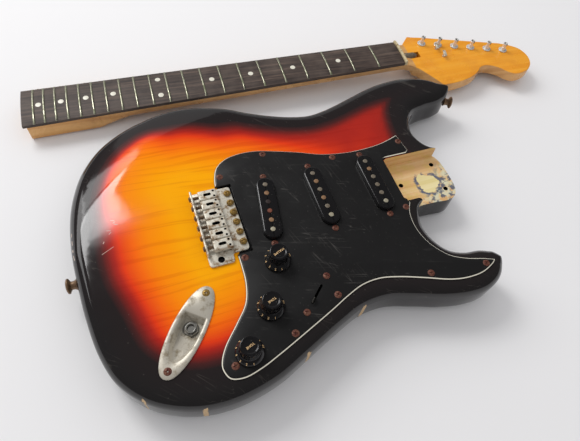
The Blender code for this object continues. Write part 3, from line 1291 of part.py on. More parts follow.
def make_tuners(bench):
    """Each tuner: its housing with the bushing through the headstock, its post, and its button."""
    axis_z = HOUSING_TOP - HOUSING_DEPTH / 2
    bore = POST_RADIUS + RUNNING_GAP
    bore_foot = HOUSING_FOOT + HOUSING_WALL
    turn = (0, 0, TUNER_LINE_TURN)
    for number, (x, y) in enumerate(tuner_places(), 1):
        place = bench.frame(f"tuner_{number}_post_axis", bench.neck, (x, y, 0), turn)
        low = (-HOUSING_LENGTH / 2, -HOUSING_WIDTH / 2 - HOUSING_INNER_SIDE, HOUSING_FOOT)
        high = (HOUSING_LENGTH / 2, HOUSING_WIDTH / 2, HOUSING_TOP)
        housing = bench.part(f"tuner_{number}_housing", box(low, high), "steel", place)
        face = -HEAD_DROP + GAP
        flange = face + BUSHING_FLANGE_RISE
        root = HOUSING_TOP - JOINT
        bushing = (
            (0, root), (BUSHING_TUNER, root), (BUSHING_TUNER, face), (BUSHING_FLANGE, face),
            (BUSHING_FLANGE, flange), (0, flange),
        )
        bench.join(housing, "bushing", studs(bushing, [(0, 0)], 8))
        bench.cut(housing, "post_bore", holes([(0, 0, bore, bore_foot, flange + THROUGH)], 8))
        along_y = Matrix.Rotation(math.radians(-90), 4, "X")
        edge = HOUSING_WIDTH / 2
        shaft_start = edge - BUTTON_SHAFT_DEPTH
        shaft_hole = (0, -axis_z, BUTTON_SHAFT + RUNNING_GAP, shaft_start, edge + THROUGH)
        bench.cut(housing, "shaft_bore", holes([shaft_hole], 8, along_y))

        top = -HEAD_DROP + POST_RISE
        post = turned((
            (0, top), (POST_RADIUS, top), (POST_RADIUS - POST_WAIST_DEPTH, top - POST_WAIST),
            (POST_RADIUS, top - 2 * POST_WAIST), (POST_RADIUS, bore_foot + GAP), (0, bore_foot + GAP),
        ), 8)
        bench.part(f"tuner_{number}_post", post, "steel", place)

        axis = bench.frame(f"tuner_{number}_button_axis", place, at=(0, 0, axis_z))
        half = BUTTON_WIDTH / 2
        shoulder, end = BUTTON_REACH + BUTTON_SHOULDER, BUTTON_REACH + BUTTON_LENGTH
        outline = filleted((
            (-BUTTON_NECK, BUTTON_REACH, 0), (BUTTON_NECK, BUTTON_REACH, 0), (half, shoulder, BUTTON_CORNER),
            (half - BUTTON_TAPER, end, BUTTON_CORNER), (-half + BUTTON_TAPER, end, BUTTON_CORNER),
            (-half, shoulder, BUTTON_CORNER),
        ), 1)
        button = prism(outline, -BUTTON_THICK / 2, BUTTON_THICK / 2)
        button = bench.part(f"tuner_{number}_button", button, "steel", axis)
        shaft = rods([(0, 0, BUTTON_SHAFT, shaft_start + GAP, BUTTON_REACH + 2 * JOINT)], 8, along_y)
        bench.join(button, "shaft", shaft)


def make_string_trees(bench):
    """Two string trees on the headstock's face: a post with a small winged bar on it."""
    for number, (x, y) in enumerate(STRING_TREES, 1):
        face = -HEAD_DROP + GAP
        place = bench.frame(f"string_tree_{number}_place", bench.neck, (x, y, face), (0, 0, TREE_TURN))
        half_width, half_length = TREE_WIDTH / 2, TREE_LENGTH / 2
        wing = box((-half_width, -half_length, TREE_RISE - TREE_THICK), (half_width, half_length, TREE_RISE))
        tree = bench.part(f"string_tree_{number}", wing, "steel", place)
        bench.join(tree, "post", rods([(0, 0, TREE_POST, 0, TREE_RISE + TREE_POST_RISE)], 8))


def lay_neck(bench):
    """Lays the neck on the table: it rests on its heel's end and on the first tuner's housing."""
    first = min(x - math.hypot(HOUSING_LENGTH, HOUSING_WIDTH) / 2 for x, _ in tuner_places())
    tilt = math.asin((-HOUSING_FOOT - HEEL_THICK) / (NECK_LENGTH + first))
    lower = HEEL_THICK * math.cos(tilt) + NECK_LENGTH * math.sin(tilt)
    turn = math.radians(NECK_TURN)
    heel = Matrix.Rotation(turn, 2) @ Vector((NECK_LENGTH * math.cos(tilt), 0))
    bench.neck.location = Vector((NECK_AT[0] + heel.x, NECK_AT[1] + heel.y, lower)) * MM
    bench.neck.rotation_euler = (0, -tilt, turn)


def centre_on_table(bench):
    """Moves the whole so that the origin lies under its middle, on the table."""
    bpy.context.view_layer.update()
    graph = bpy.context.evaluated_depsgraph_get()
    points = []
    for part in bench.parts.objects:
        if part.type != "MESH":
            continue
        shape = part.evaluated_get(graph)
        points += [shape.matrix_world @ vertex.co for vertex in shape.data.vertices]
    low = [min(point[i] for point in points) for i in range(3)]
    high = [max(point[i] for point in points) for i in range(3)]
    bench.root.location = (-(low[0] + high[0]) / 2, -(low[1] + high[1]) / 2, -low[2])


def main():
    """Builds the guitar."""
    bench = Bench()
    make_body(bench)
    make_guard(bench)
    make_pickups(bench)
    make_controls(bench)
    make_switch(bench)
    make_bridge(bench)
    make_back(bench)
    make_jack(bench)
    make_strap_buttons(bench)
    make_neck(bench)
    make_fretboard(bench)
    make_tuners(bench)
    make_string_trees(bench)
    lay_neck(bench)
    centre_on_table(bench)


main()
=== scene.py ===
"""Looks of a worn electric guitar, taken apart: its body lies on its back, and its neck lies behind it.

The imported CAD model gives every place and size. Named sizes are in millimetres, in the body's own frame or the
neck's own frame, and each class makes its meshes as whole numpy arrays and dresses them in procedural finishes.
"""

import json
import logging
import math
from dataclasses import dataclass, field
from enum import Enum
from typing import Callable, Sequence

import bmesh
import bpy
import numpy as np
from mathutils import Matrix, Vector
from mathutils.geometry import delaunay_2d_cdt


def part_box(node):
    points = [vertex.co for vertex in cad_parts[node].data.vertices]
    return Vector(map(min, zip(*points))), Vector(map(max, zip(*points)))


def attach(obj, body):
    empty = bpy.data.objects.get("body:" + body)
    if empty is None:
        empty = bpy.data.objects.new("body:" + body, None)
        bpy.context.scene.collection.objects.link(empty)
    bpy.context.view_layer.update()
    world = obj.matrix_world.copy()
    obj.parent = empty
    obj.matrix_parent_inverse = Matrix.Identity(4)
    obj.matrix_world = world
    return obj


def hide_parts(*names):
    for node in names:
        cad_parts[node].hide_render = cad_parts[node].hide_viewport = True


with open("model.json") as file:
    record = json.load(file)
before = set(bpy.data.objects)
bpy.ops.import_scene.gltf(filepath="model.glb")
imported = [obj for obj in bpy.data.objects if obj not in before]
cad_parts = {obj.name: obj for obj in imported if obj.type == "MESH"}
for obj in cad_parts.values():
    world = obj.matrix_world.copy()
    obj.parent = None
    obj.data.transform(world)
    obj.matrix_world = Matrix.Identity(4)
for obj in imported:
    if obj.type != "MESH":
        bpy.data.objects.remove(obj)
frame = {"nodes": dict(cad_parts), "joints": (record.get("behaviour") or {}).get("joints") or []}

MM = 0.001
GAP = 0.3
LOG = logging.getLogger("guitar")
Colour = tuple[int, int, int]
Outline = Sequence[tuple[float, float]]

BODY_THICK = 44.5
EDGE_ROUND = 12.7
HEEL_ROUND = 4.0
BODY_OUTLINE: Outline = (
    (246, 31.5), (240, 38), (237.5, 49), (240, 64), (247, 79), (258, 90), (276, 95.5), (297, 98),
    (310, 103.5), (316, 113), (310, 123.5), (296, 134.5), (278, 141.5), (256, 144), (232, 142),
    (212, 137.5), (192, 131), (171, 124), (150, 118), (130, 115), (111, 118), (86, 126.5), (62, 137.5),
    (38, 150), (3, 163), (-24, 166), (-51, 162), (-75, 153), (-103, 133.5), (-123, 106), (-134, 77),
    (-139.5, 50), (-141.8, 14), (-140.5, -23), (-138, -57), (-132, -93), (-122, -119), (-103, -141),
    (-81, -154), (-58, -161), (-31, -162.5), (5, -156), (35, -144), (74, -127.5), (100, -118.5),
    (127, -117.5), (153, -125), (179, -133.6), (204, -138.5), (224, -138), (240, -131.5), (249, -122),
    (251.5, -112.5), (246.5, -103.5), (235, -98), (218, -95.5), (204.5, -89), (195.5, -75.5),
    (192, -60), (193.5, -46), (197, -36), (205, -30.5), (222, -30), (243, -31), (251, -27.5),
    (256, -19), (257.5, 0), (256, 19), (252, 28),
)
FOREARM_ARC: Outline = ((-141, -15), (-62, 93), (70, 131))
FOREARM_SLOPE = 0.27
FOREARM_SOFT = 14.0
FOREARM_FADE = 50.0
BELLY_ARC: Outline = ((-75, 150), (20, 72), (160, 122))
BELLY_SLOPE = 0.3
BELLY_SOFT = 12.0
POCKET_START = 184.0
POCKET_HALF = 28.2
POCKET_FLOOR = 28.5
NECK_SCREWS: Outline = ((198, 0), (245, 17), (245, -17))

GUARD_LOW = 44.8
GUARD_TOP = 47.1
GUARD_OUTLINE: Outline = (
    (1.5, 39), (3.5, 50), (9, 63), (21, 72), (39, 75.3), (56, 74), (74, 69), (98, 61), (121, 52),
    (145, 47.4), (162, 46.5), (186, 48), (203.5, 52), (213.5, 55.5), (217, 28.8), (183.4, 28.8),
    (183.4, -25), (188.5, -30.5), (182, -43), (180, -62), (185, -80.5), (197, -97), (211, -105),
    (229.5, -111), (239.5, -115), (236, -118), (221, -124), (203.5, -125), (186, -122), (162, -113),
    (139, -105), (121, -101), (103.5, -102), (86, -108), (68, -116), (39, -128), (9, -140),
    (-8, -146), (-24, -149), (-35, -146), (-39, -137), (-38, -130), (-32, -119), (-17, -102),
    (-5, -87), (0.6, -69), (2, -49), (2, -39.5), (17, -39.5), (17, 39),
)
GUARD_CORNERS = (0, 13, 14, 15, 16, 17, 24, 47, 48, 49)
GUARD_SCREWS: Outline = (
    (9.3, 50), (60.2, 67), (130.7, 43.5), (210.7, 45.2), (7.6, -44.8), (180.2, -36.1), (76.5, -104.4),
    (169.8, -110.2), (227.4, -116.7), (27.9, -126.5), (-28.2, -137.4),
)


def linear(colour: Colour) -> tuple[float, float, float, float]:
    """A screen colour of 0 to 255 as the linear colour that a shader takes.

    Args:
        colour: red, green and blue as a screen shows them.
    Returns:
        Linear red, green, blue and a full alpha.
    """
    parts = [part / 255 for part in colour]
    return (*(p / 12.92 if p <= 0.04045 else ((p + 0.055) / 1.055) ** 2.4 for p in parts), 1.0)


def smooth_loop(points: Outline, steps: int, corners: Sequence[int] = ()) -> np.ndarray:
    """Samples of a closed centripetal Catmull-Rom curve, as Barry and Goldman's pyramid of mixes.

    Args:
        points: the curve's own points.
        steps: samples for each stretch between two points.
        corners: the points at which the curve turns sharply.
    Returns:
        The samples, one row of x and y for each.
    """
    start = np.array(points, float)
    end, before, after = np.roll(start, -1, 0), np.roll(start, 1, 0), np.roll(start, -2, 0)
    sharp = np.isin(np.arange(len(start)), list(corners))[:, None]
    before = np.where(sharp, 2 * start - end, before)
    after = np.where(np.roll(sharp, -1, 0), 2 * end - start, after)
    knots = [np.zeros(len(start))]
    for first, second in ((before, start), (start, end), (end, after)):
        knots.append(knots[-1] + np.sqrt(np.linalg.norm(second - first, axis=1)))
    knot = [row[:, None, None] for row in knots]
    share = np.arange(steps)[None, :, None] / steps
    at = knot[1] + (knot[2] - knot[1]) * share

    def mix(first: np.ndarray, second: np.ndarray, low: int, high: int) -> np.ndarray:
        return (first * (knot[high] - at) + second * (at - knot[low])) / (knot[high] - knot[low])

    row = [spot[:, None, :] for spot in (before, start, end, after)]
    near = [mix(row[i], row[i + 1], i, i + 1) for i in range(3)]
    wide = [mix(near[i], near[i + 1], i, i + 2) for i in range(2)]
    return mix(wide[0], wide[1], 1, 2).reshape(-1, 2)


def inward(loop: np.ndarray) -> np.ndarray:
    """The unit normals into an outline that runs anticlockwise: its chord turned a quarter to the left."""
    along = np.roll(loop, -1, 0) - np.roll(loop, 1, 0)
    normal = np.stack([-along[:, 1], along[:, 0]], 1)
    return normal / np.linalg.norm(normal, axis=1)[:, None]


def anticlockwise(loop: np.ndarray) -> np.ndarray:
    """The outline, turned round if it runs clockwise."""
    nearby = np.roll(loop, -1, 0)
    area = (loop[:, 0] * nearby[:, 1] - loop[:, 1] * nearby[:, 0]).sum()
    return loop if area > 0 else loop[::-1]


def rim_distance(spots: np.ndarray, loop: np.ndarray) -> np.ndarray:
    """The distance of each place from an outline's nearest side, as the least distance to its segments.

    Args:
        spots: places, one row of x and y for each.
        loop: the outline.
    Returns:
        One distance for each place.
    """
    start, side = loop, np.roll(loop, -1, 0) - loop
    length = (side * side).sum(1)
    out = np.empty(len(spots))
    for first in range(0, len(spots), 2000):
        part = spots[first:first + 2000, None, :] - start[None]
        share = np.clip((part * side[None]).sum(2) / length, 0, 1)
        out[first:first + 2000] = np.linalg.norm(part - share[..., None] * side[None], axis=2).min(1)
    return out


def inside(spots: np.ndarray, loop: np.ndarray) -> np.ndarray:
    """Whether each place lies in the outline: a ray along x crosses its sides an odd number of times."""
    x0, y0 = loop[:, 0], loop[:, 1]
    x1, y1 = np.roll(x0, -1), np.roll(y0, -1)
    x, y = spots[:, :1], spots[:, 1:]
    over = (y0 > y) != (y1 > y)
    rise = np.where(y1 == y0, 1e-9, y1 - y0)
    return (over & (x < (x1 - x0) * (y - y0) / rise + x0)).sum(1) % 2 == 1


def ease(share: np.ndarray) -> np.ndarray:
    """Rises smoothly from 0 to 1: 3s² - 2s³."""
    share = np.clip(share, 0, 1)
    return share * share * (3 - 2 * share)


def circle_through(points: Outline) -> tuple[np.ndarray, float]:
    """Centre and radius of the circle through three points."""
    a, b, c = (np.array(point, float) for point in points)
    sides = np.array([b - a, c - a])
    centre = np.linalg.solve(2 * sides, [b @ b - a @ a, c @ c - a @ a])
    return centre, float(np.linalg.norm(a - centre))


def forearm_drop(x: np.ndarray, y: np.ndarray) -> np.ndarray:
    """How far the forearm contour lies below the flat top: it starts at a circle and steepens outwards."""
    centre, radius = circle_through(FOREARM_ARC)
    reach = np.maximum(0, np.hypot(x - centre[0], y - centre[1]) - radius)
    return FOREARM_SLOPE * reach * reach / (reach + FOREARM_SOFT) * ease((FOREARM_ARC[2][0] - x) / FOREARM_FADE)


def belly_drop(x: np.ndarray, y: np.ndarray) -> np.ndarray:
    """How far the belly contour lies above the flat back: it deepens into a large circle."""
    centre, radius = circle_through(BELLY_ARC)
    reach = np.maximum(0, radius - np.hypot(x - centre[0], y - centre[1]))
    return BELLY_SLOPE * reach * reach / (reach + BELLY_SOFT)


@dataclass
class Shape:
    """A mesh in the making: places in millimetres in a local frame, and faces as rows of place numbers."""

    places: np.ndarray
    faces: list

    def moved(self, matrix: np.ndarray) -> "Shape":
        """The shape after a 4 by 4 matrix."""
        return Shape(self.places @ matrix[:3, :3].T + matrix[:3, 3], self.faces)

    def at(self, x: float, y: float, z: float = 0.0, turn: float = 0.0) -> "Shape":
        """The shape turned about its own z, in degrees, and shifted."""
        return self.moved(shift(x, y, z) @ spin("Z", turn))


def joined(shapes: Sequence[Shape]) -> Shape:
    """Several shapes as one."""
    faces: list = []
    count = 0
    for shape in shapes:
        faces += [[i + count for i in face] for face in shape.faces]
        count += len(shape.places)
    return Shape(np.concatenate([shape.places for shape in shapes]), faces)


def shift(x: float, y: float, z: float = 0.0) -> np.ndarray:
    """The matrix that shifts by these millimetres."""
    matrix = np.eye(4)
    matrix[:3, 3] = (x, y, z)
    return matrix


def spin(axis: str, degrees: float) -> np.ndarray:
    """The matrix that turns about an axis by the right-hand rule."""
    return np.array(Matrix.Rotation(math.radians(degrees), 4, axis))


def grid_faces(rows: int, columns: int, wrap: bool = True) -> list:
    """The quads of a grid of places, whose columns close into a ring where wrap is set."""
    i, j = np.meshgrid(np.arange(rows - 1), np.arange(columns if wrap else columns - 1), indexing="ij")
    k = (j + 1) % columns
    quads = np.stack([i * columns + j, i * columns + k, (i + 1) * columns + k, (i + 1) * columns + j], -1)
    return quads.reshape(-1, 4).tolist()


def skinned(rings: np.ndarray) -> Shape:
    """A closed skin through rings of places, with a face over its first ring and its last.

    Args:
        rings: an array of rings by places by x, y and z.
    Returns:
        The closed shape.
    """
    rows, columns = rings.shape[:2]
    faces = grid_faces(rows, columns)
    faces.append(list(range(columns))[::-1])
    faces.append(list(range((rows - 1) * columns, rows * columns)))
    return Shape(rings.reshape(-1, 3), faces)


def lathe(profile: Sequence[tuple[float, float]], sides: int = 48, flutes: Callable | None = None) -> Shape:
    """A turned solid about z: the profile's radius and height at each angle of a full turn.

    Args:
        profile: radius and height, from one end of the axis to the other.
        sides: how many steps the turn has.
        flutes: the share that is added to the radius, as a function of the angle and the height.
    Returns:
        The closed shape.
    """
    radius, height = np.array(profile, float).T
    angle = np.linspace(0, 2 * np.pi, sides, endpoint=False)
    spread = radius[:, None] * (1 + (flutes(angle[None], height[:, None]) if flutes else 0 * angle[None]))
    rings = np.stack([
        spread * np.cos(angle), spread * np.sin(angle), np.broadcast_to(height[:, None], spread.shape),
    ], -1)
    return skinned(rings)


def rounded(corners: Sequence[tuple[float, float]], radius: float, steps: int = 4) -> list[tuple[float, float]]:
    """A profile line whose inner corners are rounded: each is a quadratic curve between two near points.

    Args:
        corners: the profile's points.
        radius: how far from a corner its curve starts.
        steps: samples of each curve.
    Returns:
        The points of the rounded profile.
    """
    line = np.array(corners, float)
    out = [tuple(line[0])]
    for before, here, after in zip(line, line[1:], line[2:]):
        back, ahead = before - here, after - here
        near = min(radius, np.linalg.norm(back) * 0.49, np.linalg.norm(ahead) * 0.49)
        start = here + back / np.linalg.norm(back) * near
        end = here + ahead / np.linalg.norm(ahead) * near
        for share in np.linspace(0, 1, steps):
            out.append(tuple((1 - share) ** 2 * start + 2 * share * (1 - share) * here + share ** 2 * end))
    out.append(tuple(line[-1]))
    return out


def set_in(loop: np.ndarray, amount: float) -> np.ndarray:
    """An outline set in by this much: a place that comes too near another side lies between its neighbours."""
    if amount <= 0:
        return loop
    spots = loop + inward(loop) * amount
    good = (rim_distance(spots, loop) > amount * 0.97) & inside(spots, loop)
    index = np.arange(len(loop))
    if good.sum() < 3:
        return spots
    return np.stack([np.interp(index, index[good], spots[good, i], period=len(loop)) for i in (0, 1)], 1)


def plate(outline: np.ndarray, profile: Sequence[tuple[float, float]]) -> Shape:
    """A flat piece whose side follows a profile: the outline is set in by each inset, at each height.

    Args:
        outline: the piece's outline, in either direction.
        profile: inset and height, from the bottom to the top.
    Returns:
        The closed shape.
    """
    loop = anticlockwise(outline)
    rings = [np.column_stack([set_in(loop, inset), np.full(len(loop), height)]) for inset, height in profile]
    return skinned(np.array(rings))


def soft_plate(outline: np.ndarray, low: float, high: float, top: float, bottom: float = 0.2) -> Shape:
    """A plate with a round of this radius on its upper edge, and one on its lower edge."""
    turn = np.linspace(0, np.pi / 2, 5)
    lower = [(bottom * (1 - math.sin(t)), low + bottom * (1 - math.cos(t))) for t in turn]
    upper = [(top * (1 - math.cos(t)), high - top * (1 - math.sin(t))) for t in turn]
    return plate(outline, lower + upper)


def bar(length: float, width: float, radius: float | None = None, steps: int = 8) -> np.ndarray:
    """The outline of a bar with round corners, its length along y: four quarter circles."""
    radius = width / 2 - 1e-3 if radius is None else radius
    angle = np.concatenate([np.linspace(q, q + 1, steps) * np.pi / 2 for q in range(4)])
    side_x = np.repeat([1, -1, -1, 1], steps) * (width / 2 - radius)
    side_y = np.repeat([1, 1, -1, -1], steps) * (length / 2 - radius)
    return np.stack([side_x + radius * np.cos(angle), side_y + radius * np.sin(angle)], 1)


def block(low: Sequence[float], high: Sequence[float], radius: float = 0.5) -> Shape:
    """A block between two corners with soft edges: a plate of its plan with rounded rims."""
    size_x, size_y = high[0] - low[0], high[1] - low[1]
    outline = bar(size_y, size_x, radius, 4) + [(low[0] + high[0]) / 2, (low[1] + high[1]) / 2]
    return soft_plate(outline, low[2], high[2], radius, radius)


def screw_head(radius: float, rise: float, slot: float = 0.5, flat: bool = False) -> Shape:
    """A domed head with a cross recess: the dome's height less a dip where either arm of the cross runs.

    Args:
        radius: the head's radius.
        rise: the dome's height over its rim.
        slot: half the width of the cross's arms, at the middle.
        flat: whether the head's top is flat rather than domed.
    Returns:
        The closed head, with its rim at z = 0.
    """
    share = np.concatenate([[0.0], np.linspace(0.06, 0.92, 16), [0.98, 1.0]])[:, None]
    angle = np.linspace(0, 2 * np.pi, 56, endpoint=False)[None]
    x, y = radius * share * np.cos(angle), radius * share * np.sin(angle)
    dome = rise * (1 - share ** 2.4) if not flat else rise * (1 - ease((share - 0.9) * 10))
    arm = np.minimum(np.abs(x), np.abs(y))
    length = np.maximum(np.abs(x), np.abs(y))
    dip = ease((slot * (1 - length / radius * 0.4) - arm) / 0.22 + 0.5) * ease((radius * 0.62 - length) / 0.3 + 0.5)
    height = dome - dip * (rise * 0.35 + 0.8) * (1 - length / radius)
    rings = np.stack([x, y, height], -1)
    foot = np.stack([rings[-1, :, 0] * 0.96, rings[-1, :, 1] * 0.96, np.full(56, -0.5)], -1)
    return skinned(np.concatenate([rings, foot[None]]))


class Frame:
    """A local frame of the model: where its millimetres lie in the scene."""

    def __init__(self, origin: Sequence[float], x: Sequence[float], y: Sequence[float], z: Sequence[float]):
        self.matrix = np.eye(4)
        self.matrix[:3, 0], self.matrix[:3, 1], self.matrix[:3, 2] = x, y, z
        self.matrix[:3, 3] = np.array(origin) / MM

    def mesh(self, name: str, shape: Shape, finish: bpy.types.Material, smooth: float = 35) -> bpy.types.Object:
        """A finished object of this shape, with its place in its mesh and its faces outward.

        Args:
            name: the object's name.
            shape: the shape in this frame, in millimetres.
            finish: its material.
            smooth: the angle in degrees over which an edge stays sharp.
        Returns:
            The linked object.
        """
        mesh = bpy.data.meshes.new(name)
        places = shape.moved(self.matrix).places * MM
        mesh.from_pydata(places.tolist(), [], shape.faces)
        bm = bmesh.new()
        bm.from_mesh(mesh)
        bmesh.ops.remove_doubles(bm, verts=bm.verts, dist=2e-6)
        bmesh.ops.recalc_face_normals(bm, faces=bm.faces)
        bm.to_mesh(mesh)
        bm.free()
        mesh.materials.append(finish)
        mesh.shade_smooth()
        mesh.set_sharp_from_angle(angle=math.radians(smooth))
        piece = bpy.data.objects.new(name, mesh)
        bpy.context.scene.collection.objects.link(piece)
        return piece

    def piece(self, name: str, shape: Shape, finish: bpy.types.Material, rides: str = "guitar",
              replaces: Sequence[str] = (), smooth: float = 35) -> bpy.types.Object:
        """A visual piece that moves with a body of the model and stands for some of its nodes."""
        made = self.mesh(name, shape, finish, smooth)
        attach(made, rides)
        if replaces:
            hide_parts(*replaces)
        return made


def carve(target: bpy.types.Object, cutters: Sequence[bpy.types.Object], smooth: float = 35) -> None:
    """Cuts each cutter from the target for good, and removes the cutters."""
    for cutter in cutters:
        step = target.modifiers.new("cut", "BOOLEAN")
        step.solver = "EXACT"
        step.object = cutter
        step.material_mode = "TRANSFER"
    graph = bpy.context.evaluated_depsgraph_get()
    graph.update()
    mesh = bpy.data.meshes.new_from_object(target.evaluated_get(graph))
    target.modifiers.clear()
    target.data = mesh
    mesh.set_sharp_from_angle(angle=math.radians(smooth))
    for cutter in cutters:
        bpy.data.objects.remove(cutter)


class Nodes:
    """A short hand for building one node tree."""

    def __init__(self, tree: bpy.types.NodeTree):
        self.tree = tree

    def add(self, kind: str, **values) -> bpy.types.Node:
        """A node of this kind with these properties set."""
        node = self.tree.nodes.new(kind)
        for name, value in values.items():
            setattr(node, name, value)
        return node

    def feed(self, node: bpy.types.Node, **inputs) -> bpy.types.Node:
        """Fills a node's inputs, by name with _ for a blank, from sockets or constants."""
        for name, value in inputs.items():
            key = int(name[1:]) if name[0] == "i" and name[1:].isdigit() else name.replace("_", " ")
            self.put(node.inputs[key], value)
        return node

    def put(self, socket: bpy.types.NodeSocket, value) -> None:
        """Links a socket's value or sets a constant."""
        if isinstance(value, bpy.types.NodeSocket):
            self.tree.links.new(value, socket)
        else:
            socket.default_value = value

    def math(self, operation: str, first, second=0.0, third=0.0) -> bpy.types.NodeSocket:
        """The result of a math node."""
        node = self.add("ShaderNodeMath", operation=operation)
        for socket, value in zip(node.inputs, (first, second, third)):
            self.put(socket, value)
        return node.outputs[0]

    def ramp(self, value, stops: Sequence[tuple[float, tuple]], smooth: bool = False) -> bpy.types.NodeSocket:
        """A colour ramp's colour: stops are places from 0 to 1 with linear colours."""
        node = self.add("ShaderNodeValToRGB")
        ramp = node.color_ramp
        ramp.interpolation = "EASE" if smooth else "LINEAR"
        while len(ramp.elements) < len(stops):
            ramp.elements.new(0.5)
        for element, (place, colour) in zip(ramp.elements, stops):
            element.position = place
            element.color = colour
        self.put(node.inputs[0], value)
        return node.outputs[0]

    def span(self, value, low: float, high: float, start: float = 0.0, end: float = 1.0) -> bpy.types.NodeSocket:
        """The value's share of the way from low to high, as a value from start to end."""
        node = self.add("ShaderNodeMapRange", clamp=True)
        self.feed(node, Value=value, From_Min=low, From_Max=high, To_Min=start, To_Max=end)
        return node.outputs[0]

    def mix(self, share, first, second, blend: str = "MIX") -> bpy.types.NodeSocket:
        """A mix of two colours."""
        node = self.add("ShaderNodeMix", data_type="RGBA", blend_type=blend)
        self.put(node.inputs[0], share)
        self.put(node.inputs[6], first)
        self.put(node.inputs[7], second)
        return node.outputs[2]

    def noise(self, where, scale: float, detail: float = 3.0, rough: float = 0.5, warp: float = 0.0):
        """A noise texture's value at a place."""
        node = self.add("ShaderNodeTexNoise")
        self.feed(node, Vector=where, Scale=scale, Detail=detail, Roughness=rough, Distortion=warp)
        return node.outputs["Fac"]

    def place(self) -> bpy.types.NodeSocket:
        """The object's own coordinates."""
        return self.add("ShaderNodeTexCoord").outputs["Object"]

    def mapped(self, where, at=(0, 0, 0), turn=(0, 0, 0), scale=(1, 1, 1)) -> bpy.types.NodeSocket:
        """A place shifted, then turned and stretched: the mapping's inverse as a texture sees it."""
        node = self.add("ShaderNodeMapping", vector_type="POINT")
        self.feed(node, Vector=where, Location=at, Rotation=turn, Scale=scale)
        return node.outputs[0]

    def bump(self, height, distance: float, strength: float = 1.0) -> bpy.types.NodeSocket:
        """A bump's normal."""
        node = self.add("ShaderNodeBump")
        self.feed(node, Height=height, Distance=distance, Strength=strength)
        return node.outputs[0]


def group(name: str, inputs: dict[str, float], outputs: dict[str, str], build: Callable) -> bpy.types.NodeTree:
    """A shared effect as a node group.

    Args:
        name: the group's name.
        inputs: its float inputs, with their defaults.
        outputs: its outputs, with the socket type of each.
        build: takes the nodes and the group's inputs, and gives a dict of sockets for the outputs.
    Returns:
        The group's tree.
    """
    tree = bpy.data.node_groups.new(name, "ShaderNodeTree")
    for key, value in inputs.items():
        tree.interface.new_socket(key, in_out="INPUT", socket_type="NodeSocketFloat").default_value = value
    for key, kind in outputs.items():
        tree.interface.new_socket(key, in_out="OUTPUT", socket_type=kind)
    nodes = Nodes(tree)
    source, sink = nodes.add("NodeGroupInput"), nodes.add("NodeGroupOutput")
    for key, socket in build(nodes, source.outputs).items():
        tree.links.new(socket, sink.inputs[key])
    return tree


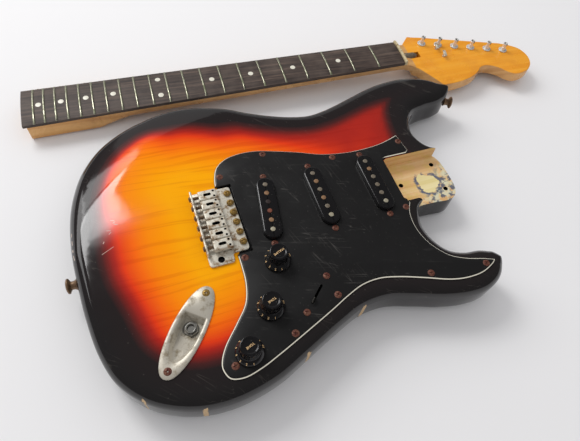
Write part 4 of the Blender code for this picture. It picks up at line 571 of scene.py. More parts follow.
class Effects:
    """The shared effects: specks, hairline scratches, tarnish and wood grain."""

    def __init__(self):
        value = {"Value": "NodeSocketFloat"}
        self.specks = group("Specks", {"Scale": 900.0, "Amount": 0.1}, value, self.speck_nodes)
        self.scratches = group("Scratches", {"Scale": 40.0, "Amount": 0.5, "Turn": 0.3}, value, self.scratch_nodes)
        self.blotches = group("Blotches", {"Scale": 60.0, "Low": 0.45, "High": 0.62}, value, self.blotch_nodes)
        self.grain = group("Grain", {"Scale": 160.0, "Turn": 0.0, "Wave": 0.3}, value, self.grain_nodes)
        self.stroke = group(
            "Stroke", {"X": 0.0, "Y": 0.0, "Turn": 0.0, "Half": 0.0, "Width": 1.0, "Ragged": 0.5}, value,
            self.stroke_nodes,
        )

    @staticmethod
    def speck_nodes(nodes: Nodes, source) -> dict:
        """Dust: the cells of a Voronoi texture whose own colour is bright, near their middles."""
        cells = nodes.add("ShaderNodeTexVoronoi")
        nodes.feed(cells, Vector=nodes.place(), Scale=source["Scale"])
        bright = nodes.add("ShaderNodeSeparateColor")
        nodes.put(bright.inputs[0], cells.outputs["Color"])
        chosen = nodes.math("LESS_THAN", bright.outputs[0], source["Amount"])
        near = nodes.span(cells.outputs["Distance"], 0.26, 0.12)
        size = nodes.math("MULTIPLY", near, nodes.span(bright.outputs[1], 0.0, 1.0, 0.3, 1.0))
        return {"Value": nodes.math("MULTIPLY", chosen, size)}

    @staticmethod
    def scratch_nodes(nodes: Nodes, source) -> dict:
        """Hairlines: the thin middle line of a stretched, slightly warped noise, broken up by another."""
        turn = nodes.add("ShaderNodeCombineXYZ")
        nodes.put(turn.inputs[2], source["Turn"])
        turned = nodes.mapped(nodes.place(), turn=turn.outputs[0])
        stretched = nodes.mapped(turned, scale=(0.06, 1.0, 1.0))
        lines = nodes.add("ShaderNodeTexNoise")
        nodes.feed(lines, Vector=stretched, Scale=source["Scale"], Detail=2.0, Roughness=0.7, Distortion=0.2)
        middle = nodes.math("ABSOLUTE", nodes.math("SUBTRACT", lines.outputs["Fac"], 0.5))
        thin = nodes.span(middle, 0.006, 0.0)
        broken = nodes.noise(nodes.place(), 55.0, 2.0)
        kept = nodes.span(broken, 0.5, 0.62)
        return {"Value": nodes.math("MULTIPLY", nodes.math("MULTIPLY", thin, kept), source["Amount"])}

    @staticmethod
    def stroke_nodes(nodes: Nodes, source) -> dict:
        """A ragged stroke seen from above: 1 within its width of a line about a place, in metres."""
        parts = nodes.add("ShaderNodeSeparateXYZ")
        nodes.put(parts.inputs[0], nodes.place())
        x = nodes.math("SUBTRACT", parts.outputs[0], source["X"])
        y = nodes.math("SUBTRACT", parts.outputs[1], source["Y"])
        cosine, sine = nodes.math("COSINE", source["Turn"]), nodes.math("SINE", source["Turn"])
        along = nodes.math("ADD", nodes.math("MULTIPLY", x, cosine), nodes.math("MULTIPLY", y, sine))
        aside = nodes.math("SUBTRACT", nodes.math("MULTIPLY", y, cosine), nodes.math("MULTIPLY", x, sine))
        beyond = nodes.math("MAXIMUM", nodes.math("SUBTRACT", nodes.math("ABSOLUTE", along), source["Half"]), 0.0)
        squares = nodes.math("ADD", nodes.math("MULTIPLY", beyond, beyond), nodes.math("MULTIPLY", aside, aside))
        far = nodes.math("DIVIDE", nodes.math("SQRT", squares), source["Width"])
        rough = nodes.math("MULTIPLY", nodes.math("SUBTRACT", nodes.noise(nodes.place(), 700.0, 3.0), 0.5), 3.0)
        edge = nodes.math("ADD", far, nodes.math("MULTIPLY", rough, source["Ragged"]))
        return {"Value": nodes.span(edge, 1.1, 0.9)}

    @staticmethod
    def blotch_nodes(nodes: Nodes, source) -> dict:
        """Blotches: a detailed noise between two levels."""
        noise = nodes.add("ShaderNodeTexNoise")
        nodes.feed(noise, Vector=nodes.place(), Scale=source["Scale"], Detail=6.0, Roughness=0.62)
        share = nodes.add("ShaderNodeMapRange", clamp=True)
        nodes.feed(share, Value=noise.outputs["Fac"], From_Min=source["Low"], From_Max=source["High"])
        return {"Value": share.outputs[0]}

    @staticmethod
    def grain_nodes(nodes: Nodes, source) -> dict:
        """Grain: warped bands across the board's length, mixed with a noise stretched along it."""
        turn = nodes.add("ShaderNodeCombineXYZ")
        nodes.put(turn.inputs[2], source["Turn"])
        turned = nodes.mapped(nodes.place(), turn=turn.outputs[0])
        bend = nodes.noise(nodes.mapped(turned, scale=(0.35, 1.0, 1.0)), 9.0, 3.0, 0.5)
        parts = nodes.add("ShaderNodeSeparateXYZ")
        nodes.put(parts.inputs[0], turned)
        offset = nodes.math("MULTIPLY", nodes.math("MULTIPLY", bend, 0.09), source["Wave"])
        across = nodes.math("ADD", nodes.math("ADD", parts.outputs[1], offset), parts.outputs[2])
        phase = nodes.add("ShaderNodeCombineXYZ")
        nodes.put(phase.inputs[0], nodes.math("MULTIPLY", parts.outputs[0], 0.03))
        nodes.put(phase.inputs[1], across)
        fine = nodes.add("ShaderNodeTexNoise")
        nodes.feed(fine, Vector=phase.outputs[0], Scale=source["Scale"], Detail=4.0, Roughness=0.62)
        return {"Value": fine.outputs["Fac"]}


class Kind(Enum):
    """The plain finishes: each is a colour, its roughness, how metallic it is, and its wear."""

    BLACK_GLOSS = "black gloss"
    BLACK_MATT = "black matt"
    GUARD = "guard"
    CHROME = "chrome"
    OLD_CHROME = "old chrome"
    STEEL = "steel"
    RUST = "rust"
    BRASS = "brass"
    NICKEL = "nickel"
    POLE = "pole"
    RUSTY_POLE = "rusty pole"
    TAN_POLE = "tan pole"
    DARK_POLE = "dark pole"
    BRIGHT_POLE = "bright pole"
    JACK_PLATE = "jack plate"
    BROWN_STEEL = "brown steel"
    BRONZE = "bronze"
    DARK_STEEL = "dark steel"
    BONE = "bone"
    PEARL = "pearl"
    FIBRE = "fibre"
    GOLD_INK = "gold ink"
    WALNUT = "walnut"
    # Painted shade: a near-black finish for the walls of holes and slots, and for dark plugs that stand for a hole's
    # depth.
    HOLE = "hole"


@dataclass(frozen=True)
class Finish:
    """How a plain finish looks.

    The stain is a second colour in blotches, and dust is pale specks; scratch is not used.
    """

    colour: Colour
    rough: float
    metal: float = 0.0
    coat: float = 0.0
    stain: Colour | None = None
    stain_scale: float = 90.0
    stain_low: float = 0.5
    stain_high: float = 0.68
    stain_rough: float = 0.6
    stain_metal: float = 0.3
    dust: float = 0.0
    scratch: float = 0.0
    pits: float = 0.0


FINISHES = {
    Kind.BLACK_GLOSS: Finish((22, 21, 22), 0.16, dust=0.06),
    Kind.BLACK_MATT: Finish((30, 29, 29), 0.42, dust=0.08),
    Kind.CHROME: Finish((238, 236, 232), 0.16, 0.5, stain=(150, 128, 98), stain_low=0.6, stain_high=0.78, pits=0.2),
    Kind.OLD_CHROME: Finish(
        (226, 220, 204), 0.38, 0.45, stain=(134, 104, 68), stain_scale=190, stain_low=0.48, stain_high=0.64, pits=1.0
    ),
    Kind.JACK_PLATE: Finish(
        (204, 197, 182), 0.4, 0.4, stain=(150, 138, 116), stain_scale=150, stain_low=0.5, stain_high=0.68, pits=0.8
    ),
    Kind.DARK_STEEL: Finish((92, 90, 86), 0.36, 0.9, stain=(70, 60, 50), stain_scale=160, pits=0.4),
    Kind.BROWN_STEEL: Finish((140, 116, 90), 0.4, 0.5, stain=(78, 58, 42), stain_scale=300, stain_low=0.42, pits=0.6),
    Kind.BRONZE: Finish((132, 104, 78), 0.4, 0.4, stain=(78, 54, 40), stain_scale=260, pits=0.5),
    Kind.STEEL: Finish((168, 166, 160), 0.34, 1.0, stain=(110, 98, 82), stain_low=0.5, stain_high=0.72, pits=0.4),
    Kind.RUST: Finish(
        (136, 96, 76), 0.5, 0.4, stain=(96, 44, 32), stain_scale=420, stain_low=0.36, stain_high=0.56,
        stain_metal=0.1, pits=1.2,
    ),
    Kind.BRASS: Finish((176, 142, 76), 0.4, 0.6, stain=(92, 66, 38), stain_scale=260, pits=0.5),
    Kind.NICKEL: Finish((172, 170, 150), 0.28, 1.0, stain=(112, 116, 86), stain_scale=160, stain_low=0.45, pits=0.3),
    Kind.POLE: Finish((136, 126, 110), 0.46, 0.4, stain=(92, 74, 56), stain_scale=400, pits=0.6),
    Kind.RUSTY_POLE: Finish(
        (132, 76, 54), 0.6, 0.2, stain=(110, 54, 36), stain_scale=420, stain_low=0.4, stain_high=0.62,
        stain_metal=0.1, pits=1.2,
    ),
    Kind.TAN_POLE: Finish((150, 116, 84), 0.5, 0.3, stain=(120, 84, 58), stain_scale=400, pits=0.6),
    Kind.DARK_POLE: Finish((58, 46, 44), 0.5, 0.3, stain=(36, 28, 28), stain_scale=400, pits=0.6),
    Kind.BRIGHT_POLE: Finish((180, 174, 152), 0.42, 0.4, stain=(150, 134, 104), stain_scale=400, pits=0.4),
    Kind.BONE: Finish((216, 198, 156), 0.4, stain=(160, 134, 92), stain_scale=260, stain_metal=0.0),
    Kind.PEARL: Finish((226, 222, 206), 0.3),
    Kind.FIBRE: Finish((24, 23, 23), 0.62, dust=0.05),
    Kind.GOLD_INK: Finish((250, 208, 150), 0.5),
    Kind.WALNUT: Finish((84, 48, 30), 0.4),
    # Painted shade: holes and slots are near-black, whatever their walls are made of.
    Kind.HOLE: Finish((10, 9, 9), 0.9),
}


class Paint:
    """Makes the materials."""

    def __init__(self, effects: Effects):
        self.effects = effects
        self.made: dict[Kind, bpy.types.Material] = {}

    def blank(self, name: str) -> tuple[bpy.types.Material, Nodes, bpy.types.Node]:
        """A material with its nodes, and its shader."""
        material = bpy.data.materials.new(name)
        material.use_nodes = True
        return material, Nodes(material.node_tree), material.node_tree.nodes["Principled BSDF"]

    def use(self, nodes: Nodes, tree: bpy.types.NodeTree, **inputs) -> bpy.types.NodeSocket:
        """The first output of a shared effect."""
        node = nodes.add("ShaderNodeGroup", node_tree=tree)
        nodes.feed(node, **inputs)
        return node.outputs[0]

    def plain(self, kind: Kind) -> bpy.types.Material:
        """The material of a plain finish, made once."""
        if kind not in self.made:
            self.made[kind] = self.build(kind.value, FINISHES[kind])
        return self.made[kind]

    def build(self, name: str, finish: Finish) -> bpy.types.Material:
        """A plain finish's material."""
        material, nodes, shader = self.blank(name)
        colour: object = linear(finish.colour)
        rough: object = finish.rough
        metal: object = finish.metal
        if finish.stain:
            mask = self.use(
                nodes, self.effects.blotches, Scale=finish.stain_scale, Low=finish.stain_low, High=finish.stain_high
            )
            colour = nodes.mix(mask, colour, linear(finish.stain))
            rough = nodes.span(mask, 0.0, 1.0, finish.rough, finish.stain_rough)
            metal = nodes.span(mask, 0.0, 1.0, finish.metal, finish.stain_metal)
        if finish.dust:
            dust = self.use(nodes, self.effects.specks, Scale=700.0, Amount=finish.dust)
            colour = nodes.mix(nodes.math("MULTIPLY", dust, 0.4), colour, linear((170, 166, 156)))
        nodes.feed(shader, Base_Color=colour, Roughness=rough, Metallic=metal, Coat_Weight=finish.coat)
        if finish.pits:
            pits = nodes.noise(nodes.place(), 900.0, 4.0, 0.7)
            nodes.feed(shader, Normal=nodes.bump(pits, 0.00012 * finish.pits, 0.6))
        return material

    def strokes(self, nodes: Nodes, origin: np.ndarray, marks: Sequence[Sequence[float]], ragged: float):
        """A mask of strokes: each mark is x, y, its turn in degrees, its half length and its half width in mm."""
        mask: object = 0.0
        for x, y, turn, half, width in marks:
            stroke = self.use(
                nodes, self.effects.stroke, X=(origin[0] + x) * MM, Y=(origin[1] + y) * MM,
                Turn=math.radians(turn), Half=half * MM, Width=width * MM, Ragged=ragged,
            )
            mask = nodes.math("MAXIMUM", mask, stroke)
        return mask

    def sunburst(self, origin: np.ndarray, chips: Sequence, scuffs: Sequence, shades: Sequence) -> bpy.types.Material:
        """The body's clear-coated burst: its colour follows the distance from the rim, with ash grain under it.

        Args:
            origin: the body's place in mm.
            chips: strokes that show the bare wood.
            scuffs: fine pale strokes.
            shades: black strokes of painted shade, in the gaps round the bridge plate and the guard, and in the tremolo
                arm's hole.
        Returns:
            The material.
        """
        material, nodes, shader = self.blank("sunburst")
        rim = nodes.add("ShaderNodeAttribute", attribute_name="rim").outputs["Fac"]
        wander = nodes.noise(nodes.place(), 14.0, 4.0, 0.6)
        wobble = nodes.math("MULTIPLY", nodes.math("SUBTRACT", wander, 0.5), 0.05)
        spread = nodes.math("ADD", rim, wobble)
        burst = nodes.ramp(spread, [
            (0.0, linear((33, 31, 31))), (0.21, linear((37, 31, 31))), (0.265, linear((72, 34, 33))),
            (0.31, linear((116, 34, 30))), (0.37, linear((170, 38, 28))), (0.43, linear((226, 60, 20))),
            (0.56, linear((246, 106, 10))), (0.70, linear((250, 138, 4))), (0.85, linear((251, 152, 0))),
            (1.0, linear((252, 168, 0))),
        ])
        grain = self.use(nodes, self.effects.grain, Scale=190.0, Turn=0.05, Wave=0.5)
        lines = nodes.span(grain, 0.48, 0.40)
        inner = nodes.span(spread, 0.2, 0.5)
        veins = nodes.math("MULTIPLY", nodes.math("MULTIPLY", lines, 0.24), inner)
        colour = nodes.mix(veins, burst, nodes.mix(1.0, burst, linear((206, 108, 52)), "MULTIPLY"))
        scratch = self.use(nodes, self.effects.scratches, Scale=60.0, Amount=0.2, Turn=0.8)
        dust = self.use(nodes, self.effects.specks, Scale=420.0, Amount=0.04)
        pale = nodes.math("MAXIMUM", scratch, nodes.math("MULTIPLY", dust, 0.4))
        black = nodes.span(spread, 0.36, 0.2, 0.05, 0.4)
        colour = nodes.mix(nodes.math("MULTIPLY", pale, black), colour, linear((180, 172, 160)))
        # Painted shade: black strokes over the burst in the gaps round the bridge plate and the guard, and in the
        # tremolo arm's hole.
        colour = nodes.mix(self.strokes(nodes, origin, shades, 0.0), colour, linear((14, 13, 13)))
        scuffed = nodes.math("MULTIPLY", self.strokes(nodes, origin, scuffs, 0.6), 0.7)
        colour = nodes.mix(scuffed, colour, linear((222, 200, 184)))
        bare = self.strokes(nodes, origin, chips, 0.8)
        colour = nodes.mix(bare, colour, linear((196, 164, 120)))
        rough = nodes.math("ADD", nodes.span(self.smear(nodes), 0.35, 0.7, 0.06, 0.11), nodes.math("MULTIPLY", bare, 0.4))
        ripple = nodes.noise(nodes.place(), 34.0, 2.0)
        height = nodes.math("SUBTRACT", nodes.math("MULTIPLY", ripple, 0.5), nodes.math("MULTIPLY", bare, 0.4))
        nodes.feed(
            shader, Base_Color=colour, Roughness=rough, Specular_IOR_Level=0.5,
            Normal=nodes.bump(height, 0.0006, 0.3),
        )
        return material

    @staticmethod
    def smear(nodes: Nodes) -> bpy.types.NodeSocket:
        """Smears of handling, as a broad noise."""
        return nodes.noise(nodes.place(), 26.0, 5.0, 0.6, 0.4)

    def guard(self) -> bpy.types.Material:
        """The pickguard: worn black sheet, with a pale ply that shows in its bevelled edge."""
        material, nodes, shader = self.blank("guard")
        scratch = self.use(nodes, self.effects.scratches, Scale=90.0, Amount=0.5, Turn=0.35)
        across = self.use(nodes, self.effects.scratches, Scale=70.0, Amount=0.4, Turn=1.25)
        dust = self.use(nodes, self.effects.specks, Scale=520.0, Amount=0.11)
        pale = nodes.math("MAXIMUM", nodes.math("MAXIMUM", scratch, across), nodes.math("MULTIPLY", dust, 0.6))
        colour = nodes.mix(nodes.math("MULTIPLY", pale, 0.2), linear((27, 26, 26)), linear((186, 180, 170)))
        ply = nodes.add("ShaderNodeAttribute", attribute_name="ply").outputs["Fac"]
        colour = nodes.mix(ply, colour, linear((240, 234, 214)))
        rough = nodes.span(self.smear(nodes), 0.35, 0.7, 0.3, 0.42)
        nodes.feed(shader, Base_Color=colour, Roughness=rough)
        return material

    def maple(self, name: str, head: bool = False) -> bpy.types.Material:
        """The neck's lacquered maple: tan, and deeper amber over the headstock."""
        material, nodes, shader = self.blank(name)
        grain = self.use(nodes, self.effects.grain, Scale=120.0, Turn=0.047, Wave=0.2)
        tan = nodes.ramp(grain, [
            (0.3, linear((196, 138, 76))), (0.5, linear((216, 162, 98))), (0.72, linear((226, 178, 116))),
        ])
        if head:
            tan = nodes.ramp(grain, [
                (0.3, linear((232, 146, 30))), (0.5, linear((243, 163, 40))), (0.72, linear((248, 176, 58))),
            ])
        worn = self.use(nodes, self.effects.blotches, Scale=34.0, Low=0.5, High=0.66)
        wear = linear((214, 128, 30) if head else (150, 96, 48))
        tan = nodes.mix(nodes.math("MULTIPLY", worn, 0.35), tan, wear)
        dust = self.use(nodes, self.effects.specks, Scale=500.0, Amount=0.03)
        tan = nodes.mix(nodes.math("MULTIPLY", dust, 0.3), tan, linear((90, 62, 40)))
        nodes.feed(shader, Base_Color=tan, Roughness=nodes.span(self.smear(nodes), 0.3, 0.7, 0.2, 0.36))
        return material

    def rosewood(self) -> bpy.types.Material:
        """The fretboard's dark, dry rosewood, with paler streaks and pores along it."""
        material, nodes, shader = self.blank("rosewood")
        grain = self.use(nodes, self.effects.grain, Scale=380.0, Turn=0.047, Wave=0.15)
        colour = nodes.ramp(grain, [
            (0.3, linear((42, 33, 30))), (0.48, linear((66, 53, 47))), (0.6, linear((84, 68, 59))),
            (0.75, linear((116, 96, 84))),
        ])
        grime = self.use(nodes, self.effects.blotches, Scale=48.0, Low=0.42, High=0.7)
        colour = nodes.mix(nodes.math("MULTIPLY", grime, 0.45), colour, linear((104, 90, 80)))
        nodes.feed(shader, Base_Color=colour, Roughness=0.58, Normal=nodes.bump(grain, 0.0002, 0.5))
        return material

    def bare_wood(self, origin: np.ndarray, disc: tuple[float, float, float]) -> bpy.types.Material:
        """The pocket's bare wood: tan and yellow, with a cream disc in a ring of blue-grey stain.

        Args:
            origin: the body's place in mm.
            disc: the middle of the disc and its radius in mm.
        Returns:
            The material.
        """
        material, nodes, shader = self.blank("bare wood")
        grain = self.use(nodes, self.effects.grain, Scale=110.0, Turn=0.0, Wave=0.3)
        colour = nodes.ramp(grain, [
            (0.32, linear((202, 154, 96))), (0.5, linear((226, 184, 128))), (0.68, linear((234, 204, 154))),
        ])
        yellow = self.use(nodes, self.effects.blotches, Scale=70.0, Low=0.48, High=0.6)
        colour = nodes.mix(nodes.math("MULTIPLY", yellow, 0.45), colour, linear((210, 184, 84)))
        parts = nodes.add("ShaderNodeSeparateXYZ")
        nodes.put(parts.inputs[0], nodes.place())
        x = nodes.math("SUBTRACT", nodes.math("DIVIDE", parts.outputs[0], MM), origin[0] + disc[0])
        y = nodes.math("SUBTRACT", nodes.math("DIVIDE", parts.outputs[1], MM), origin[1] + disc[1])
        far = nodes.math("SQRT", nodes.math("ADD", nodes.math("MULTIPLY", x, x), nodes.math("MULTIPLY", y, y)))
        ragged = nodes.math("MULTIPLY", nodes.math("SUBTRACT", nodes.noise(nodes.place(), 90.0, 4.0, 0.6), 0.5), 16.0)
        edge = nodes.math("SUBTRACT", nodes.math("ADD", far, ragged), disc[2])
        outer = nodes.math("MULTIPLY", nodes.span(edge, 0.0, 1.0), nodes.span(nodes.math("SUBTRACT", x, y), -6.0, 16.0))
        chalk = self.use(nodes, self.effects.blotches, Scale=120.0, Low=0.44, High=0.56)
        colour = nodes.mix(nodes.math("MULTIPLY", outer, chalk), colour, linear((214, 208, 176)))
        stain = self.use(nodes, self.effects.blotches, Scale=150.0, Low=0.50, High=0.56)
        colour = nodes.mix(nodes.math("MULTIPLY", nodes.math("MULTIPLY", outer, stain), 0.9), colour,
                           linear((74, 86, 108)))
        ring = nodes.math("MULTIPLY", nodes.span(edge, -0.4, 0.4), nodes.span(edge, 4.5, 2.5))
        patchy = self.use(nodes, self.effects.blotches, Scale=80.0, Low=0.42, High=0.5)
        colour = nodes.mix(nodes.math("MULTIPLY", ring, patchy), colour, linear((98, 102, 118)))
        cream = nodes.mix(nodes.span(grain, 0.4, 0.7), linear((224, 206, 140)), linear((240, 226, 176)))
        colour = nodes.mix(nodes.span(edge, 0.2, -0.2), colour, cream)
        nodes.feed(shader, Base_Color=colour, Roughness=0.62, Normal=nodes.bump(grain, 0.0003, 0.4))
        return material


def softened(corners: Outline, radius: float, steps: int = 6) -> np.ndarray:
    """A closed outline through these corners, each rounded by a quadratic curve."""
    line = [tuple(corner) for corner in corners]
    middle = ((line[0][0] + line[-1][0]) / 2, (line[0][1] + line[-1][1]) / 2)
    return np.array(rounded([middle, *line, middle], radius, steps))[:-1]


def prism(outline: np.ndarray, low: float, high: float) -> Shape:
    """A straight-sided piece between two heights."""
    return plate(outline, [(0, low), (0, high)])


def rod(x: float, y: float, radius: float, low: float, high: float, sides: int = 32) -> Shape:
    """A round bar along z."""
    return lathe([(radius, low), (radius, high)], sides).at(x, y)


def along_x(shape: Shape) -> Shape:
    """The shape with its z turned to x."""
    return shape.moved(spin("Y", 90))


def lettering(text: str, size: float) -> Shape:
    """Plain letters or digits as flat faces about the origin.

    Args:
        text: what they say.
        size: their height in millimetres, about.
    Returns:
        The flat shape, which faces +z.
    """
    curve = bpy.data.curves.new("lettering", "FONT")
    curve.body = text
    curve.size = size
    curve.align_x, curve.align_y = "CENTER", "CENTER"
    curve.resolution_u = 3
    guide = bpy.data.objects.new("lettering", curve)
    mesh = bpy.data.meshes.new_from_object(guide)
    spots = np.empty(len(mesh.vertices) * 3)
    mesh.vertices.foreach_get("co", spots)
    faces = [list(polygon.vertices) for polygon in mesh.polygons]
    bpy.data.objects.remove(guide)
    bpy.data.meshes.remove(mesh)
    return Shape(spots.reshape(-1, 3), faces)


@dataclass
class Assembly:
    """What every group of pieces shares: its frame and the paint."""

    frame: Frame
    paint: Paint

    def add(self, name: str, shape: Shape, kind: Kind | bpy.types.Material, slot: str, **more) -> bpy.types.Object:
        """A finished piece in this assembly's frame."""
        finish = self.paint.plain(kind) if isinstance(kind, Kind) else kind
        made = self.frame.piece(name, shape, finish, **more)
        return made

    def cutter(self, shape: Shape, kind: Kind | bpy.types.Material) -> bpy.types.Object:
        """A cutter, whose finish the cut faces take."""
        finish = self.paint.plain(kind) if isinstance(kind, Kind) else kind
        return self.frame.mesh("cutter", shape, finish)


def turn_of(first: Sequence[float], second: Sequence[float]) -> tuple[tuple[float, float], float, float]:
    """The middle of two places, the turn in degrees that lays a bar's length along them, and half their distance."""
    dx, dy = first[0] - second[0], first[1] - second[1]
    middle = ((first[0] + second[0]) / 2, (first[1] + second[1]) / 2)
    return middle, math.degrees(math.atan2(dy, dx)) - 90, math.hypot(dx, dy) / 2


PICKUPS = (("neck", 160.6, 0.0), ("middle", 100.8, 0.0), ("bridge", 45.2, -9.54))
POLE_PITCH = 10.4
COVER_TOP = GUARD_TOP + 4.9
HEIGHT_SCREW_SPAN = 39.0
KNOBS = (("volume", 35.5, -56.0), ("tone_1", 15.0, -98.0), ("tone_2", -14.0, -130.0))
CONTROL_ROUTE: Outline = (
    (66, -34), (20, -34), (8, -52), (4, -72), (-4, -92), (-22, -113), (-31.5, -127), (-29, -139),
    (-14, -144.5), (12, -135), (40, -122.5), (66, -111.5), (82, -104), (88, -94), (84, -76), (74, -58),
)
SWITCH_SCREWS = ((73.3, -84.1), (43.9, -111.9))
SWITCH_PIVOT = GUARD_TOP - 15.0
SWITCH_SWING = 24.0
JACK_SCREWS = ((-34.9, -67.7), (-80.9, -124.7))
PLATE_TOP = BODY_THICK + GAP + 2.0
PIVOT_RISE = 1.35
STRING_YS = tuple(11.27 * (2.5 - i) for i in range(6))
STRAP_BUTTONS = (("end", (-141.7, -15.0), (-1.0, 0.03)), ("horn", (313.9, 107.9), (0.88, -0.47)))


@dataclass
class Body(Assembly):
    """The body: rounded edges, forearm and belly contours, pocket and routes, in its burst."""

    round_share: float = 0.85
    inner_step: float = 5.0
    disc: tuple[float, float, float] = (229.0, -5.0, 12.0)
    chips: Sequence[Sequence[float]] = (
        (238.6, -33.6, 10, 3.0, 1.0), (-104, -139, -60, 1.2, 0.8),
        (36, -143.5, 10, 1.6, 0.8), (100, -118.6, 15, 1.4, 0.8), (-60, -160.6, 5, 1.5, 0.8),
    )
    scuffs: Sequence[Sequence[float]] = (
        (-99.9, 29.6, -20, 1.6, 0.35), (-98.6, 27.2, 30, 1.2, 0.35), (-97.4, 24.6, -25, 1.6, 0.4),
        (-104.8, 19.6, -10, 1.6, 0.35), (-104.0, 16.4, 40, 1.3, 0.35), (-108.6, -1.2, 25, 6.0, 0.25),
        (-111.0, 8.0, 60, 0.8, 0.4), (-138.2, 27.7, 80, 1.4, 0.4), (-138.6, 18.8, 90, 2.0, 0.4),
        (-138.9, 10.1, 90, 1.0, 0.5), (-138.7, 2.4, 95, 2.4, 0.35),
    )
    # Painted shade: black strokes in the gaps round the bridge plate, in the tremolo arm's hole, and at the guard's
    # corners by the pocket.
    shades: Sequence[Sequence[float]] = (
        (16.5, 0.0, 90, 34.0, 5.5), (12.0, -39.0, 0, 5.5, 3.0), (12.0, 39.0, 0, 5.5, 3.0), (-13.5, -40.5, 0, 0.0, 4.2),
        (182.0, 30.0, 0, 3.0, 3.0), (182.0, -30.0, 0, 3.0, 3.0),
    )

    def edge_radius(self, loop: np.ndarray, normals: np.ndarray) -> np.ndarray:
        """The edge's rounding at each place: small by the heel, and less than the largest circle that fits."""
        x, y = loop.T
        near = np.hypot(np.maximum(0, 207 - x), np.maximum(0, np.abs(y) - POCKET_HALF - 5))
        radius = HEEL_ROUND + (EDGE_ROUND - HEEL_ROUND) * ease((near - 3) / 28)
        radius = np.minimum(radius, (BODY_THICK - forearm_drop(x, y) - belly_drop(x, y)) / 2 - 1)
        reach = loop[None] - loop[:, None]
        toward = (reach * normals[:, None]).sum(2)
        limits = np.where(toward > 1e-3, (reach ** 2).sum(2) / (2 * np.maximum(toward, 1e-3)), 1e9).min(1)
        for _ in range(16):
            limits = np.minimum(limits, (np.roll(limits, 1) + np.roll(limits, -1)) / 2)
        return np.minimum(radius, limits * self.round_share)

    def shell(self) -> Shape:
        """The solid body: rings down the rounded edge, and a triangulated cap on top and below."""
        loop = smooth_loop(BODY_OUTLINE, 8)
        normals = inward(loop)
        radius = self.edge_radius(loop, normals)
        rings = []
        turns = np.radians(np.linspace(90, 0, 7))
        for top in (True, False):
            for turn in turns if top else turns[::-1]:
                flat = loop + normals * (radius * (1 - math.cos(turn)))[:, None]
                rise = radius * (1 - math.sin(turn))
                x, y = flat.T
                z = BODY_THICK - forearm_drop(x, y) - rise if top else belly_drop(x, y) + rise
                rings.append(np.column_stack([flat, z]))
        count = len(loop)
        places = [np.concatenate(rings)]
        faces = [row[::-1] for row in grid_faces(len(rings), count)]
        for ring, first, top in ((rings[0], 0, True), (rings[-1], (len(rings) - 1) * count, False)):
            added, cap = self.cap(ring[:, :2], top)
            start = sum(len(rows) for rows in places)
            places.append(added)
            number = np.concatenate([np.arange(count) + first, np.arange(len(added)) + start])
            faces += number[cap].tolist()
        return Shape(np.concatenate(places), faces)

    def cap(self, rim: np.ndarray, top: bool) -> tuple[np.ndarray, np.ndarray]:
        """The cap's inner places and its triangles, over rows of places set as a triangular grid."""
        low, high = rim.min(0), rim.max(0)
        step = self.inner_step
        x, y = np.meshgrid(np.arange(low[0], high[0], step), np.arange(low[1], high[1], step * 0.866))
        x = x + step / 2 * (np.arange(len(x)) % 2)[:, None]
        spots = np.stack([x.ravel(), y.ravel()], 1)
        spots = spots[inside(spots, rim)]
        spots = spots[rim_distance(spots, rim) > step * 0.5]
        edges = [(i, (i + 1) % len(rim)) for i in range(len(rim))]
        all_spots = [Vector(spot) for spot in np.concatenate([rim, spots])]
        found, _, triangles, _, _, _ = delaunay_2d_cdt(all_spots, edges, [], 1, 1e-6)
        inner = np.array([tuple(spot) for spot in found[len(rim):]])
        x, y = inner.T
        z = BODY_THICK - forearm_drop(x, y) if top else belly_drop(x, y)
        return np.column_stack([inner, z]), np.array(triangles)

    def cutters(self) -> list[bpy.types.Object]:
        """The neck pocket, the three screw holes and the routes."""
        beyond = 330.0
        step = -POCKET_HALF - 6
        pocket = softened((
            (POCKET_START, -POCKET_HALF), (202, -POCKET_HALF), (208, step), (beyond, step),
            (beyond, POCKET_HALF), (POCKET_START, POCKET_HALF),
        ), 6)
        wood = self.paint.bare_wood(self.frame.matrix[:3, 3], self.disc)
        out = [self.cutter(prism(pocket, POCKET_FLOOR, 60), wood)]
        # Painted shade: the neck screw holes get near-black walls.
        out += [self.cutter(rod(x, y, 2.6, -5, POCKET_FLOOR + 4), Kind.HOLE) for x, y in NECK_SCREWS]
        for _, x, turn in PICKUPS:
            out.append(self.cutter(prism(bar(94, 29, 6), 23.5, 60).at(x, 0, 0, turn), Kind.FIBRE))
        out.append(self.cutter(prism(smooth_loop(CONTROL_ROUTE, 4), 9.5, 60), Kind.FIBRE))
        for left, right, half, low, high in ((-22, 3.5, 36.5, 12.5, 60), (-22, 92, 28.5, -5, 16.5)):
            outline = softened(((left, -half), (right, -half), (right, half), (left, half)), 4)
            out.append(self.cutter(prism(outline, low, high), Kind.FIBRE))
        middle, turn, _ = turn_of(*JACK_SCREWS)
        out.append(self.cutter(prism(bar(60, 22.5), 12.5, 60).at(*middle, 0, turn), Kind.FIBRE))
        return out

